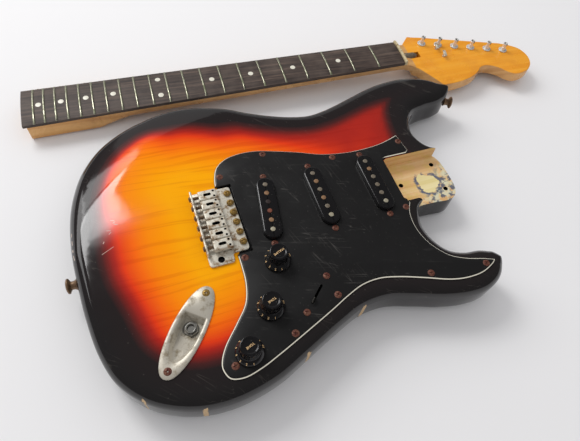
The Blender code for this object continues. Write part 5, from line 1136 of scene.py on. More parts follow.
    def build(self) -> None:
        """Makes the body and gives each of its places the burst's measure."""
        burst = self.paint.sunburst(self.frame.matrix[:3, 3], self.chips, self.scuffs, self.shades)
        body = self.add("body_wood", self.shell(), burst, "sunburst", replaces=("body",))
        carve(body, self.cutters())
        spots = np.empty(len(body.data.vertices) * 3)
        body.data.vertices.foreach_get("co", spots)
        spots = (spots.reshape(-1, 3) / MM - self.frame.matrix[:3, 3])
        x, y = spots[:, 0], spots[:, 1]
        rim = rim_distance(spots[:, :2], smooth_loop(BODY_OUTLINE, 4))
        rim = rim - 8 * ease((-y - 20) / 60) * ease((60 - x) / 60)
        rim = rim - 9 * ease((x - 190) / 60) * ease((y - 60) / 40)
        rim = rim + 15 * ease((y - 15) / 45) * ease((-x - 25) / 40) * ease((rim - 28) / 14)
        rim = rim - 8 * ease((y - 70) / 30) * ease((x + 60) / 40) * ease((50 - x) / 30)
        slow = 1 - 0.93 * ease((x - 50) / 110)
        rim = np.where(rim > 36, 36 + (rim - 36) * slow, rim)
        self.attribute(body, "rim", rim / 100)
        for y in STRING_YS:
            head = screw_head(3.6, 2.2, 0.55).at(11, y, PLATE_TOP + PIVOT_RISE)
            self.add(f"pivot_screw_{y:.0f}", joined([head, rod(11, y, 1.7, 40, PLATE_TOP + PIVOT_RISE)]), Kind.BRASS,
                     "bridge_chrome")

    @staticmethod
    def attribute(piece: bpy.types.Object, name: str, values: np.ndarray) -> None:
        """Stores one value for each place of a piece's mesh."""
        made = piece.data.attributes.new(name, "FLOAT", "POINT")
        made.data.foreach_set("value", values.astype(np.float32))


@dataclass
class Pickguard(Assembly):
    """The three-ply pickguard with its bevelled edge, its openings, and its screws."""

    ply: tuple[float, float] = (0.75, 1.5)

    def build(self) -> None:
        """Makes the guard and marks its pale ply by height, but leaves the ply black by the bridge plate and at the
        pocket's edge, as painted shade.
        """
        low, (first, last) = GUARD_LOW, self.ply
        profile = [
            (0, low), (0, low + first - 0.25), (0.25, low + first - 0.03), (0.3, low + first), (1.05, low + last),
            (1.1, low + last + 0.03), (2.1, GUARD_TOP - 0.05), (2.4, GUARD_TOP),
        ]
        loop = anticlockwise(smooth_loop(GUARD_OUTLINE, 8, GUARD_CORNERS))
        shape = plate(loop, profile)
        x, y = loop.T
        square = ((x < 18.6) & (abs(y) < 40)) | ((x > 179) & (x < 186) & (abs(y) < 30))
        for ring in shape.places.reshape(len(profile), len(loop), 3):
            ring[square, :2] = loop[square] + (ring[square, :2] - loop[square]) * 0.12
        guard = self.add("guard_sheet", shape, self.paint.guard(), "black_sheet", replaces=("pickguard",))
        span = (GUARD_LOW - 3, GUARD_TOP + 3)
        cutters = [prism(bar(70.6, 19.0), *span).at(x, 0, 0, turn) for _, x, turn in PICKUPS]
        cutters += [rod(x, y, 5.0, *span) for _, x, y in KNOBS]
        middle, turn, _ = turn_of(*SWITCH_SCREWS)
        cutters.append(prism(bar(21.2, 2.2), *span).at(*middle, 0, turn))
        carve(guard, [self.cutter(shape, Kind.BLACK_MATT) for shape in cutters])
        heights = np.empty(len(guard.data.vertices) * 3)
        guard.data.vertices.foreach_get("co", heights)
        x, y, z = (heights.reshape(-1, 3) / MM - self.frame.matrix[:3, 3]).T
        # Painted shade: beside the bridge plate and at the pocket's edge the pale ply is left black.
        ply_in_painted_shade = ((x < 19.5) & (abs(y) < 41)) | ((x > 179) & (x < 187) & (abs(y) < 31.5))
        Body.attribute(guard, "ply", (~ply_in_painted_shade & (z > low + first - 0.01) & (z < low + last + 0.01)).astype(float))
        heads = [screw_head(3.4, 0.95).at(x, y, GUARD_TOP + 0.05, 37 * i) for i, (x, y) in enumerate(GUARD_SCREWS)]
        self.add("guard_screws", joined(heads), Kind.RUST, "plated_steel")


@dataclass
class Pickups(Assembly):
    """Three pickups: cover, flatwork, six poles and two height screws each."""

    wear = {
        "neck": (Kind.POLE, Kind.TAN_POLE, Kind.POLE, Kind.POLE, Kind.POLE, Kind.BRIGHT_POLE),
        "middle": (Kind.POLE, Kind.TAN_POLE, Kind.POLE, Kind.TAN_POLE, Kind.POLE, Kind.BRIGHT_POLE),
        "bridge": (
            Kind.POLE, Kind.TAN_POLE, Kind.DARK_POLE, Kind.RUSTY_POLE, Kind.TAN_POLE, Kind.BRIGHT_POLE,
        ),
    }

    def build(self) -> None:
        """Makes the three pickups."""
        foot = COVER_TOP - 16
        for name, x, turn in PICKUPS:
            cover = soft_plate(bar(70, 18.4), foot, COVER_TOP, 1.7).at(x, 0, 0, turn)
            self.add(f"{name}_cover", cover, Kind.BLACK_GLOSS, "black_gloss", replaces=(f"{name}_pickup_cover",))
            shift_y = [POLE_PITCH * (2.5 - i) for i in range(6)]
            pole = lathe(rounded(((2.45, foot), (2.45, GUARD_TOP + 5.4), (0, GUARD_TOP + 5.4)), 0.5), 32)
            wear = self.wear[name]
            for kind in dict.fromkeys(wear):
                shape = joined([pole.at(0, shift_y[i]) for i in range(6) if wear[i] is kind]).at(x, 0, 0, turn)
                self.add(f"{name}_{kind.value.replace(' ', '_')}s", shape, kind, "plated_steel")
            sheet = soft_plate(bar(85, 22, 5), foot - 2.7, foot - 0.3, 0.2)
            self.add(f"{name}_flatwork", sheet.at(x, 0, 0, turn), Kind.FIBRE, "black_fibre",
                     replaces=(f"{name}_pickup_coil",))
            heads = [screw_head(3.3, 1.25).at(0, side * HEIGHT_SCREW_SPAN, GUARD_TOP + 0.32, 25) for side in (-1, 1)]
            shanks = [rod(0, side * HEIGHT_SCREW_SPAN, 1.5, foot - 1.7, GUARD_TOP + 0.4, 16) for side in (-1, 1)]
            self.add(f"{name}_height_screws", joined(heads + shanks).at(x, 0, 0, turn), Kind.RUST, "plated_steel")


@dataclass
class Controls(Assembly):
    """Three skirted knobs with plain numbers, and the five-way switch."""

    def knob(self) -> Shape:
        """A knob about its axis: a skirt, and a cap with fine flutes."""
        low, high = GUARD_TOP + 0.9, GUARD_TOP + 17.4
        profile = rounded((
            (8, low + 3), (8, low), (12.6, low), (12.6, low + 1.6), (10.4, low + 4.2), (8.9, low + 5.6),
            (8.35, high), (6.6, high), (6.0, high - 0.5), (0, high - 0.5),
        ), 0.7)

        def flutes(angle: np.ndarray, height: np.ndarray) -> np.ndarray:
            return -0.028 * np.abs(np.cos(angle * 16)) * ease((height - low - 6.2) * 1.5) * ease((high - 0.3 - height) * 4)

        rows = []
        for (r0, z0), (r1, z1) in zip(profile, profile[1:]):
            steps = 6 if z1 - z0 > 3 else 1
            rows += [(r0 + (r1 - r0) * i / steps, z0 + (z1 - z0) * i / steps) for i in range(steps)]
        return lathe([*rows, profile[-1]], 128, flutes)

    def marks(self, word: str) -> Shape:
        """The numbers 1 to 10 round the skirt, and a word on the cap."""
        low, out = GUARD_TOP + 0.9, []
        slope = math.degrees(math.atan2(2.6, 2.2))
        for number in range(1, 11):
            digit = lettering(str(number), 3.2).moved(spin("X", slope)).moved(shift(0, -11.62, low + 2.88))
            out.append(digit.moved(spin("Z", 90 - 30 * number)))
        out.append(lettering(word, 2.9).at(0, 0, GUARD_TOP + 16.95, -100))
        return joined(out)

    def build(self) -> None:
        """Makes the knobs and the switch."""
        for name, x, y in KNOBS:
            rides = f"{name}_control"
            self.add(f"{name}_cap", self.knob().at(x, y), Kind.BLACK_GLOSS, "black_gloss", rides=rides,
                     replaces=(f"{name}_knob",))
            marks = self.marks("TONE" if "tone" in name else "VOLUME").at(x, y, 0, -60)
            self.add(f"{name}_marks", marks, Kind.GOLD_INK, "black_gloss", rides=rides)
        middle, turn, span = turn_of(*SWITCH_SCREWS)
        top = GUARD_LOW - GAP - SWITCH_PIVOT
        plate_bar = plate(bar(2 * span + 10, 11, 0.8), [(0, top - 1.5), (0, top)])
        wall = block((1.85, -span + 4, -8), (3.85, span - 4, top - 0.7), 0.2)
        pin = along_x(rod(0, 0, 1.2, -1.3, 2.85))
        steel = joined([plate_bar, wall, pin]).at(*middle, SWITCH_PIVOT, turn)
        frame_piece = self.add("switch_plate", steel, Kind.STEEL, "plated_steel", replaces=("switch_frame",))
        slot = prism(bar(22.4, 3.4), top - 5, top + 0.5).at(*middle, SWITCH_PIVOT, turn)
        carve(frame_piece, [self.cutter(slot, Kind.STEEL)])
        heads = [screw_head(3.3, 1.25).at(0, side * span, GUARD_TOP + 0.32, 15) for side in (-1, 1)]
        self.add("switch_screws", joined(heads).at(*middle, 0, turn), Kind.RUST, "plated_steel")
        blade = block((-0.65, -2.75, -4), (0.65, 2.75, 21.5), 0.3).moved(spin("X", SWITCH_SWING))
        lever = self.add("switch_blade_steel", blade.at(*middle, SWITCH_PIVOT, turn), Kind.DARK_STEEL, "plated_steel",
                         rides="switch_blade", replaces=("switch_lever",))
        eye = along_x(rod(0, 0, 1.55, -3, 3)).at(*middle, SWITCH_PIVOT, turn)
        carve(lever, [self.cutter(eye, Kind.STEEL)])


@dataclass
class Bridge(Assembly):
    """The tremolo bridge: base plate with its lip, and six saddles with their screws."""

    def build(self) -> None:
        """Makes the plate, the lip and the saddles."""
        low = BODY_THICK + GAP
        outline = softened((
            (-25, -45.75), (-1.5, -45.75), (-1.5, -36.5), (15, -36.5), (15, 36.5), (-25, 36.5),
        ), 3)
        plate_piece = self.add("bridge_base", soft_plate(outline, low, PLATE_TOP, 0.5), Kind.OLD_CHROME,
                               "bridge_chrome", rides="tremolo", replaces=("bridge_plate",))
        # Painted shade: the arm's hole and the pivot screws' holes get near-black walls.
        cutters = [self.cutter(rod(-13.5, -40.5, 3.2, low - 3, PLATE_TOP + 3), Kind.HOLE)]
        cutters += [self.cutter(rod(11, y, 2.6, low - 3, PLATE_TOP + 3), Kind.HOLE) for y in STRING_YS]
        side = spin("Y", -10)
        knife = block((0, -40, -6), (10, 40, 0), 0.1).moved(side).moved(shift(11, 0, low))
        carve(plate_piece, [*cutters, self.cutter(knife, Kind.STEEL)])
        lip = block((-25, -35.5, low + 0.5), (-23.2, 35.5, PLATE_TOP + 7.6), 0.6)
        lip_piece = self.add("bridge_lip", lip, Kind.OLD_CHROME, "bridge_chrome", rides="tremolo")
        axis_z = PLATE_TOP + 1.6 + 2.8
        holes = [along_x(rod(-axis_z, y, 1.5, -28, -20)) for y in STRING_YS]
        # Painted shade: the lip's string holes get near-black walls.
        carve(lip_piece, [self.cutter(shape, Kind.HOLE) for shape in holes])
        for number, y in enumerate(STRING_YS, 1):
            self.saddle(number, y, axis_z)

    def saddle(self, number: int, y: float, axis_z: float) -> None:
        """A cast saddle with a round-ended string slot, two height screws, and its long screw with a spring."""
        low = PLATE_TOP + 1.6
        high = low + 5.6
        body = block((-17.5, y - 5.3, low), (0.5, y + 5.3, high), 0.9)
        piece = self.add(f"saddle_block_{number}", body, Kind.OLD_CHROME, "bridge_chrome", rides="tremolo",
                         replaces=(f"saddle_{number}",))
        slot = prism(bar(7.5, 3.2), low - 3, high + 3).at(-9, y, 0, 90)
        # Painted shade: the string slot and the height screws' holes get near-black walls.
        cutters = [self.cutter(slot, Kind.HOLE)]
        cutters += [self.cutter(rod(-2.5, y + step, 1.15, high - 1.4, high + 3), Kind.HOLE) for step in (-3, 3)]
        carve(piece, cutters)
        feet = [rod(-2.5, y + step, 1.2, PLATE_TOP + GAP, high - 1.5, 16) for step in (-3, 3)]
        shank = along_x(rod(-axis_z, y, 1.1, -25.8, -16.5, 20))
        head = screw_head(2.5, 0.7, 0.4).moved(spin("Y", -90)).moved(shift(-26.6, y, axis_z))
        rim = along_x(rod(-axis_z, y, 2.5, -26.6, -25.3, 24))
        coils = [(1.35 + 0.35 * (i % 2), -23 + i * 0.42) for i in range(14)]
        spring = along_x(lathe([(1.15, -23.2), *coils, (1.15, -17.2)], 20).at(-axis_z, y))
        self.add(f"saddle_screws_{number}", joined([*feet, shank, head, rim, spring]), Kind.BROWN_STEEL, "bridge_chrome",
                 rides="tremolo")


HALF_BOAT = 43.25


@dataclass
class Jack(Assembly):
    """The boat-shaped jack plate with its dish, its two screws, and the socket with a hexagonal nut."""

    floor: float = -10.0
    thick: float = 1.2
    at_y: float = 4.5

    def recess(self, boat: np.ndarray, inset: float, top: float, bottom: float, rise: float) -> np.ndarray:
        """A ring of the recess: the plate's outline set in, cut straight at its top, and shorter below.

        Args:
            boat: the plate's outline.
            inset: how far inside the outline its sides lie.
            top: where its straight end lies.
            bottom: how far its round end reaches.
            rise: its height over the floor, or its height itself if it is not negative.
        Returns:
            The ring's places: over the floor they climb towards the round end.
        """
        x, y = (boat + inward(boat) * inset).T
        y = np.where(y < 0, y * bottom / (HALF_BOAT - inset), np.minimum(y, top))
        z = np.full(len(x), rise) if rise > -2 else self.floor + (rise + 10) + 0.26 * np.maximum(0, -y - 2)
        return np.column_stack([x, y, z])

    def build(self) -> None:
        """Makes the plate as one skin: under the dish, out to the rim, over it and down into the dish."""
        turn = np.linspace(0, 2 * np.pi, 144, endpoint=False)
        side = np.sign(np.cos(turn)) * np.abs(np.cos(turn)) ** 0.9
        boat = np.stack([14.5 * side, HALF_BOAT * np.sin(turn)], 1)
        normal = inward(boat)
        thick = self.thick

        def flat(ring: np.ndarray, z: float) -> np.ndarray:
            return np.column_stack([ring, np.full(len(ring), z)])

        low = self.recess(boat, 6.6, 11.8, 25.0, -10 + thick)
        middle_ring = low * [0.5, 0.5, 0] + [0, -3, 0]
        middle_ring[:, 2] = self.floor + thick + 0.26 * np.maximum(0, -middle_ring[:, 1] - 2)
        rings = [
            self.recess(boat, 5.4, 13.0, 26.2, -10), self.recess(boat, 3.5, 15.6, 29.4, -0.8),
            flat(self.recess(boat, 2.6, 16.4, 30.4, 0)[:, :2], 0.0), flat(boat, 0.0), flat(boat, thick - 0.6),
            flat(boat + normal * 0.2, thick - 0.25), flat(boat + normal * 0.6, thick),
            self.recess(boat, 3.3, 15.6, 29.0, thick), self.recess(boat, 3.8, 15.1, 28.5, thick - 0.35),
            self.recess(boat, 4.3, 14.7, 28.0, thick - 1.4), self.recess(boat, 6.0, 12.4, 25.6, -10 + thick + 0.5),
            low, middle_ring,
        ]
        skin = skinned(np.array(rings))
        middle, turn_z, span = turn_of(*JACK_SCREWS)
        place = (*middle, BODY_THICK + GAP, turn_z)
        self.add("jack_dish", skin.at(*place), Kind.JACK_PLATE, "jack_chrome", replaces=("jack_plate",))
        for side_y, kind in ((1, Kind.BRASS), (-1, Kind.RUST)):
            head = screw_head(3.4, 0.95).at(0, side_y * span, thick + 0.03, 20).at(*place)
            self.add(f"jack_screw_{side_y}", head, kind, "plated_steel")
        low = self.floor + thick + GAP
        floor = self.floor
        foot, top = floor - 13, floor + thick + 4.2
        nut = lathe([(4.6, low), (6.6, low), (6.9, low + 0.4), (6.9, low + 1.7), (6.3, low + 2.2), (4.6, low + 2.2)], 6)
        washer = lathe([(4.6, low - 0.2), (7.3, low - 0.2), (7.3, low + 0.15), (4.6, low + 0.15)], 48)
        barrel = lathe(rounded((
            (0, foot), (3.2, foot), (3.2, top - 0.4), (3.6, top), (4.6, top), (4.6, floor - 0.3), (7.9, floor - 0.3),
            (7.9, floor - 14.2), (0, floor - 14.2),
        ), 0.15), 48)
        socket = joined([nut, washer, barrel]).at(0, self.at_y).at(*place)
        self.add("jack_barrel", socket, Kind.STEEL, "jack_chrome", replaces=("jack_socket",))
        dark = lathe([(3.15, foot + 6), (3.15, foot + 6.2)], 32).at(0, self.at_y).at(*place)
        self.add("jack_shadow", dark, Kind.HOLE, "jack_chrome")


@dataclass
class Trim(Assembly):
    """The strap buttons on the edge, and the cover on the back with its screws."""

    def build(self) -> None:
        """Makes the buttons and the cover."""
        profile = rounded((
            (5.6, 0), (4.6, 1.4), (3.9, 3), (3.9, 5.6), (7.2, 7.4), (7.2, 8.8), (5.0, 9.9), (3.0, 9.9), (2.4, 9.2), (0, 9.2),
        ), 0.8)
        for name, (x, y), way in STRAP_BUTTONS:
            direction = Vector((*way, 0)).normalized()
            turn = np.array(Vector((0, 0, 1)).rotation_difference(direction).to_matrix().to_4x4())
            start = Vector((x, y, 22)) + direction * 0.4
            button = lathe(profile, 48).moved(turn).moved(shift(*start))
            self.add(f"button_{name}", button, Kind.BRONZE, "brass", replaces=(f"strap_button_{name}",))
            head = screw_head(3.0, 0.6).moved(shift(0, 0, 9.25)).moved(turn).moved(shift(*start))
            self.add(f"button_{name}_screw", head, Kind.RUST, "brass")
        outline = bar(66, 143, 4) + [33, 0]
        cover = self.add("cover_sheet", soft_plate(outline, -2.6, -0.3, 0.3, 0.7), self.paint.plain(Kind.BLACK_MATT),
                         "black_sheet", replaces=("back_cover",))
        carve(cover, [self.cutter(prism(bar(46, 9), -6, 3).at(-5.5, 0), Kind.BLACK_MATT)])
        heads = []
        for share in (-1, 0, 1):
            for way in (-1, 1):
                head = screw_head(2.9, 0.5, flat=True).moved(spin("X", 180))
                heads.append(head.at(33 + share * 67.9, way * 29.4, -2.05))
        self.add("cover_screws", joined(heads), Kind.RUST, "plated_steel")


SCALE_LENGTH = 647.7
FRETS = 21
BOARD_LENGTH = SCALE_LENGTH * (1 - 2 ** (-FRETS / 12)) + 12.9
NECK_LENGTH = BOARD_LENGTH - 4
NUT_WIDTH = 41.6
BOARD_THICK = 5.2
BOARD_RADIUS = 190.0
MAPLE_TOP = -BOARD_THICK - GAP
HEAD_FACE = -10.0
HEAD_BACK = HEAD_FACE - 14.5
HEAD_OUTLINE: Outline = (
    (15, 20.8), (20.5, 27), (30.7, 37.7), (155.7, -0.8), (169, -7.6), (180, -17), (184.7, -32),
    (181, -47), (169, -58.5), (149, -62), (139.5, -56), (133, -48), (123, -41), (115, -38.6),
    (107, -40), (99, -47), (88, -53.5), (75, -57.6), (61, -60), (41, -61), (34, -48), (27, -36),
    (20.5, -26), (15, -20.8),
)
HEAD_CORNERS = (2, 3, 19, 0, 23)
TUNER_FIRST = (44.6, 19.5)
TUNER_PITCH = 23.0
TUNER_TURN = -17.8
ROD_Z = HEAD_FACE - 0.8


def fret_place(number: float) -> float:
    """The distance of a fret behind the nut."""
    return SCALE_LENGTH * (1 - 2 ** (-number / 12))


def board_width(back: float) -> float:
    """The fretboard's width at this distance behind the nut."""
    return NUT_WIDTH + (55.8 - NUT_WIDTH) * back / BOARD_LENGTH


def crown(y: np.ndarray | float) -> np.ndarray:
    """How far the crowned top lies below its middle: the drop of a circle of the board's radius."""
    return BOARD_RADIUS - np.sqrt(BOARD_RADIUS ** 2 - np.square(y))


@dataclass
class Neck(Assembly):
    """The maple neck and headstock, the walnut strip on its back, and the truss rod's bullet nut."""

    stations: tuple = (
        (NECK_LENGTH, 25.4, 14, MAPLE_TOP, 0), (NECK_LENGTH - 74, 25.4, 14, MAPLE_TOP, 0),
        (NECK_LENGTH - 84, 24.8, 6, MAPLE_TOP, 0), (NECK_LENGTH - 96, 23.8, 3.4, MAPLE_TOP, 0),
        (NECK_LENGTH - 110, 23.3, 2.4, MAPLE_TOP, 0), (fret_place(12), 23.0, 2.3, MAPLE_TOP, 0),
        (fret_place(12) / 2, 22.0, 2.3, MAPLE_TOP, 0), (fret_place(1), 21.0, 2.3, MAPLE_TOP, 0),
        (2, 20.7, 2.4, MAPLE_TOP, 0), (-4.9, 21.2, 2.7, MAPLE_TOP, -0.15), (-12, 22.4, 3.4, HEAD_FACE + 1.6, 0),
        (-20, 23.9, 6, HEAD_FACE - 0.4, 4), (-34, 23.3, 8, HEAD_FACE - 1.2, 6),
    )

    def section(self, back: np.ndarray) -> tuple[np.ndarray, ...]:
        """Depth, power, top and added width at each distance, by straight steps between the stations."""
        table = np.array(self.stations, float)[::-1]
        return tuple(np.interp(back, table[:, 0], table[:, column]) for column in (1, 2, 3, 4))

    def shaft(self) -> Shape:
        """The loft: each ring is a superellipse below and flat on top."""
        back = np.concatenate([np.linspace(NECK_LENGTH, NECK_LENGTH - 110, 26), np.linspace(350, 4, 40),
                               np.linspace(2, -34, 22)])
        depth, power, top, wide = self.section(back)
        half = (np.where(back > 0, board_width(np.maximum(back, 0)), NUT_WIDTH) + wide)[:, None] / 2
        angle = np.linspace(0, np.pi, 49)[None]
        share = 2 / power[:, None]
        y = half * np.sign(np.cos(angle)) * np.abs(np.cos(angle)) ** share
        z = top[:, None] - (depth + top)[:, None] * np.abs(np.sin(angle)) ** share
        return skinned(np.stack([np.broadcast_to(-back[:, None], y.shape), y, z], -1))

    def strip(self) -> Shape:
        """The walnut strip: a thin band that follows the shaft's lowest line, rounded at both ends."""
        back = np.linspace(24, 352, 60)
        depth, power, top, _ = self.section(back)
        half = 3.1 * np.sqrt(np.clip(1 - ((back - 188) / 165) ** 24, 0.02, 1))
        rings = []
        for share, lift in ((-1, 0.3), (-1, -0.06), (0, -0.06), (1, -0.06), (1, 0.3)):
            y = half * share
            full = board_width(back) / 2
            angle_z = (1 - (np.abs(y) / full) ** power) ** (1 / power)
            rings.append(np.stack([-back, y, top - (depth + top) * angle_z + lift], 1))
        return skinned(np.array(rings).transpose(1, 0, 2))

    def build(self) -> None:
        """Makes the shaft, the headstock and what sits in them."""
        tan, amber = self.paint.maple("maple"), self.paint.maple("headstock maple", head=True)
        shaft = self.add("neck_shaft", self.shaft(), tan, "maple", replaces=("neck",))
        outline = smooth_loop(HEAD_OUTLINE, 8, HEAD_CORNERS)
        head = self.add("headstock", soft_plate(outline, HEAD_BACK, HEAD_FACE, 1.0, 2.0), amber, "maple")
        head.data.materials.append(tan)
        normals = np.empty(len(head.data.polygons) * 3)
        head.data.polygons.foreach_get("normal", normals)
        side = normals.reshape(-1, 3) @ self.frame.matrix[:3, 2] < 0.6
        head.data.polygons.foreach_set("material_index", side.astype(np.int32))
        hollow = along_x(rod(-ROD_Z, 0, 5.4, 6, 33, 40))
        groove = block((-434, -2.7, ROD_Z - 2.7), (7, 2.7, 0), 0.1)
        carve(shaft, [self.cutter(hollow, amber), self.cutter(groove, tan)])
        carve(head, [self.cutter(hollow, amber)])
        pilots = [rod(x - POCKET_START - NECK_LENGTH, y, 2.1, -30, -11.4, 20) for x, y in NECK_SCREWS]
        # Painted shade: the neck screws' pilot holes get near-black walls.
        carve(shaft, [self.cutter(shape, Kind.HOLE) for shape in pilots])
        self.add("walnut_strip", self.strip(), Kind.WALNUT, "maple")
        tip = 28.0
        nose = rounded(((0, -430), (2.4, -430), (2.4, tip - 18), (4.6, tip - 17), (4.6, tip - 5), (2.2, tip - 0.5),
                        (2.0, tip), (0, tip)), 1.0)
        bullet = lathe(nose, 40).moved(spin("Y", 90)).moved(shift(0, 0, ROD_Z))
        self.add("bullet_nut", bullet, Kind.POLE, "plated_steel", replaces=("truss_rod",))
        # Painted shade: a dark hexagonal plug stands for the shade deep in the bullet nut's socket.
        hex_hole_shade = along_x(lathe([(1.6, tip - 4), (1.6, tip + 0.05)], 6)).moved(shift(0, 0, ROD_Z))
        self.add("bullet_hole", hex_hole_shade, Kind.HOLE, "plated_steel")


@dataclass
class Fretboard(Assembly):
    """The crowned rosewood board with its frets, its dots and the nut."""

    dots: tuple = (3, 5, 7, 9, 15, 17, 19, 21)
    wire: float = 2.5
    rise: float = 1.1

    def build(self) -> None:
        """Makes the board, the frets, the dots and the nut."""
        back = np.linspace(BOARD_LENGTH, 0, 60)
        share = np.linspace(1, -1, 25)
        rings = []
        for at in back:
            half = board_width(at) / 2
            y = np.concatenate([[-half, half], share * (half - 0.25), ])
            z = np.concatenate([[-BOARD_THICK, -BOARD_THICK], -crown(share * (half - 0.25))])
            z[2] -= 0.2
            z[-1] -= 0.2
            rings.append(np.column_stack([np.full(len(y), -at), y, z]))
        self.add("fretboard_wood", skinned(np.array(rings)), self.paint.rosewood(), "rosewood",
                 replaces=("fretboard",))
        self.add("fret_wire", joined([self.fret(fret_place(i)) for i in range(1, FRETS + 1)]), Kind.NICKEL, "rosewood")
        disc = lathe(rounded(((3.17, -1.5), (3.17, 0.06), (0, 0.06)), 0.1), 40)
        spots = [(i, 0.0) for i in self.dots] + [(12, -13.0), (12, 13.0)]
        shapes = []
        for number, y in spots:
            middle = -(fret_place(number) + fret_place(number - 1)) / 2
            tilt = math.degrees(-y / BOARD_RADIUS)
            shapes.append(disc.moved(spin("X", tilt)).moved(shift(middle, y, -float(crown(y)))))
        self.add("dots", joined(shapes), Kind.PEARL, "rosewood")
        small = lathe([(1.1, 0), (1.1, 0.3)], 20).moved(spin("X", -90))
        sides = []
        for number in (*self.dots, 12):
            at = (fret_place(number) + fret_place(number - 1)) / 2
            for step in (-4, 4) if number == 12 else (0,):
                sides.append(small.moved(shift(-at + step, board_width(at) / 2 - 0.25, -2.9)))
        self.add("side_dots", joined(sides), Kind.PEARL, "rosewood")
        self.nut()

    def fret(self, at: float) -> Shape:
        """A fret: a low round section swept over the crown, and bevelled at both ends."""
        half = board_width(at) / 2 - 0.35
        turn = np.linspace(0, np.pi, 9)
        rings = []
        for share in np.linspace(-1, 1, 17):
            y = share * (half - 0.5)
            height = self.rise
            if abs(share) == 1:
                y, height = share * half, 0.15
            x = -at - self.wire / 2 * np.cos(turn)
            z = -crown(y) + height * np.sin(turn) ** 0.75
            foot = -float(crown(y)) - 0.4
            places = np.column_stack([x, np.full(9, y), z])
            rings.append(np.concatenate([places, [[x[-1], y, foot], [x[0], y, foot]]]))
        return skinned(np.array(rings))

    def nut(self) -> None:
        """The nut: crowned on top, lower at the back, with six slots."""
        half = NUT_WIDTH / 2
        share = np.linspace(1, -1, 21)
        rings = []
        for x, drop in ((GAP, 0.3), (GAP + 0.4, 0.0), (GAP + 2.0, 0.15), (GAP + 3.4, 0.8)):
            y = np.concatenate([[-half, half], share * half])
            z = np.concatenate([[-BOARD_THICK, -BOARD_THICK], 2.4 - drop - crown(share * half)])
            rings.append(np.column_stack([np.full(len(y), x), y, z]))
        nut = self.add("nut_bone", skinned(np.array(rings)), Kind.BONE, "bone", replaces=("nut",))
        cuts = []
        for i in range(6):
            y = (half - 3.4) * (1 - 2 * i / 5)
            width = 0.9 - 0.1 * i
            top = 2.4 - float(crown(y))
            cuts.append(block((-3, y - width / 2, top - 1.0), (7, y + width / 2, top + 2), 0.1))
        carve(nut, [self.cutter(shape, Kind.BONE) for shape in cuts])


@dataclass
class Tuners(Assembly):
    """Six tuners with their buttons, and two string trees."""

    def build(self) -> None:
        """Makes the tuners and the trees."""
        turn = math.radians(TUNER_TURN)
        for i in range(6):
            x = TUNER_FIRST[0] + math.cos(turn) * TUNER_PITCH * i
            y = TUNER_FIRST[1] + math.sin(turn) * TUNER_PITCH * i
            self.tuner(i + 1, x, y)
        for number, (x, y) in enumerate(((61.0, 6.0), (65.0, -10.0)), 1):
            face = HEAD_FACE + GAP
            wing = block((-2.1, -5.5, 4.1), (2.1, 5.5, 5.4), 0.6)
            post = lathe(rounded(((2.2, 0), (1.7, 1.2), (1.7, 4.2)), 0.4), 28)
            head = screw_head(1.9, 0.7, 0.3).at(0, 0, 5.5)
            self.add(f"tree_{number}", joined([wing, post, head]).at(x, y, face, -12), Kind.OLD_CHROME, "plated_steel",
                     replaces=(f"string_tree_{number}",))

    def tuner(self, number: int, x: float, y: float) -> None:
        """One tuner: housing and bushing, post with its slot, and button."""
        top, foot = HEAD_BACK - GAP, HEAD_BACK - GAP - 8.2
        face = HEAD_FACE + GAP
        housing = block((-10.5, -9, foot), (10.5, 8, top), 1.8)
        flange = lathe(rounded(((4.6, top - 1), (4.6, face), (5.6, face), (5.6, face + 0.9), (4.0, face + 1.4),
                                (3.4, face + 1.4)), 0.3), 40)
        cap = lathe(rounded(((2.6, foot + 0.2), (2.6, foot), (0, foot)), 0.2), 24)
        shell = joined([housing, flange, cap]).at(x, y, 0, TUNER_TURN)
        self.add(f"tuner_housing_{number}", shell, Kind.CHROME, "tuner_chrome", replaces=(f"tuner_{number}_housing",))
        high = HEAD_FACE + 11.5
        profile = rounded(((3, foot + 1.8), (3, high - 8), (2.35, high - 5.5), (2.3, high - 3.5), (3, high - 1.6),
                           (3, high), (1.4, high), (1.4, high - 3), (0, high - 3)), 0.5)
        post = lathe(profile, 40).at(x, y, 0, TUNER_TURN)
        piece = self.add(f"tuner_spindle_{number}", post, Kind.CHROME, "tuner_chrome", rides=f"tuner_{number}_winder",
                         replaces=(f"tuner_{number}_post",))
        slit = block((-0.65, -6, high - 3), (0.65, 6, high + 2), 0.1).at(x, y, 0, TUNER_TURN + 30)
        # Painted shade: the post's slot gets near-black walls.
        carve(piece, [self.cutter(slit, Kind.HOLE)])
        axis_z = (top + foot) / 2
        outline = softened(((-3.4, 17.5), (3.4, 17.5), (8.2, 22.0), (6.6, 30), (-6.6, 30), (-8.2, 22.0)), 4)
        shaft = lathe([(1.9, 5.1), (1.9, 18)], 24).moved(spin("X", -90))
        collar = lathe(rounded(((2.9, 8.3), (2.9, 9.6), (1.9, 10.4)), 0.3), 28).moved(spin("X", -90))
        button = joined([soft_plate(outline, -3.3, 3.3, 2.4, 2.4), shaft, collar]).at(x, y, axis_z, TUNER_TURN)
        self.add(f"tuner_key_{number}", button, Kind.CHROME, "tuner_chrome", rides=f"tuner_{number}_turner",
                 replaces=(f"tuner_{number}_button",))


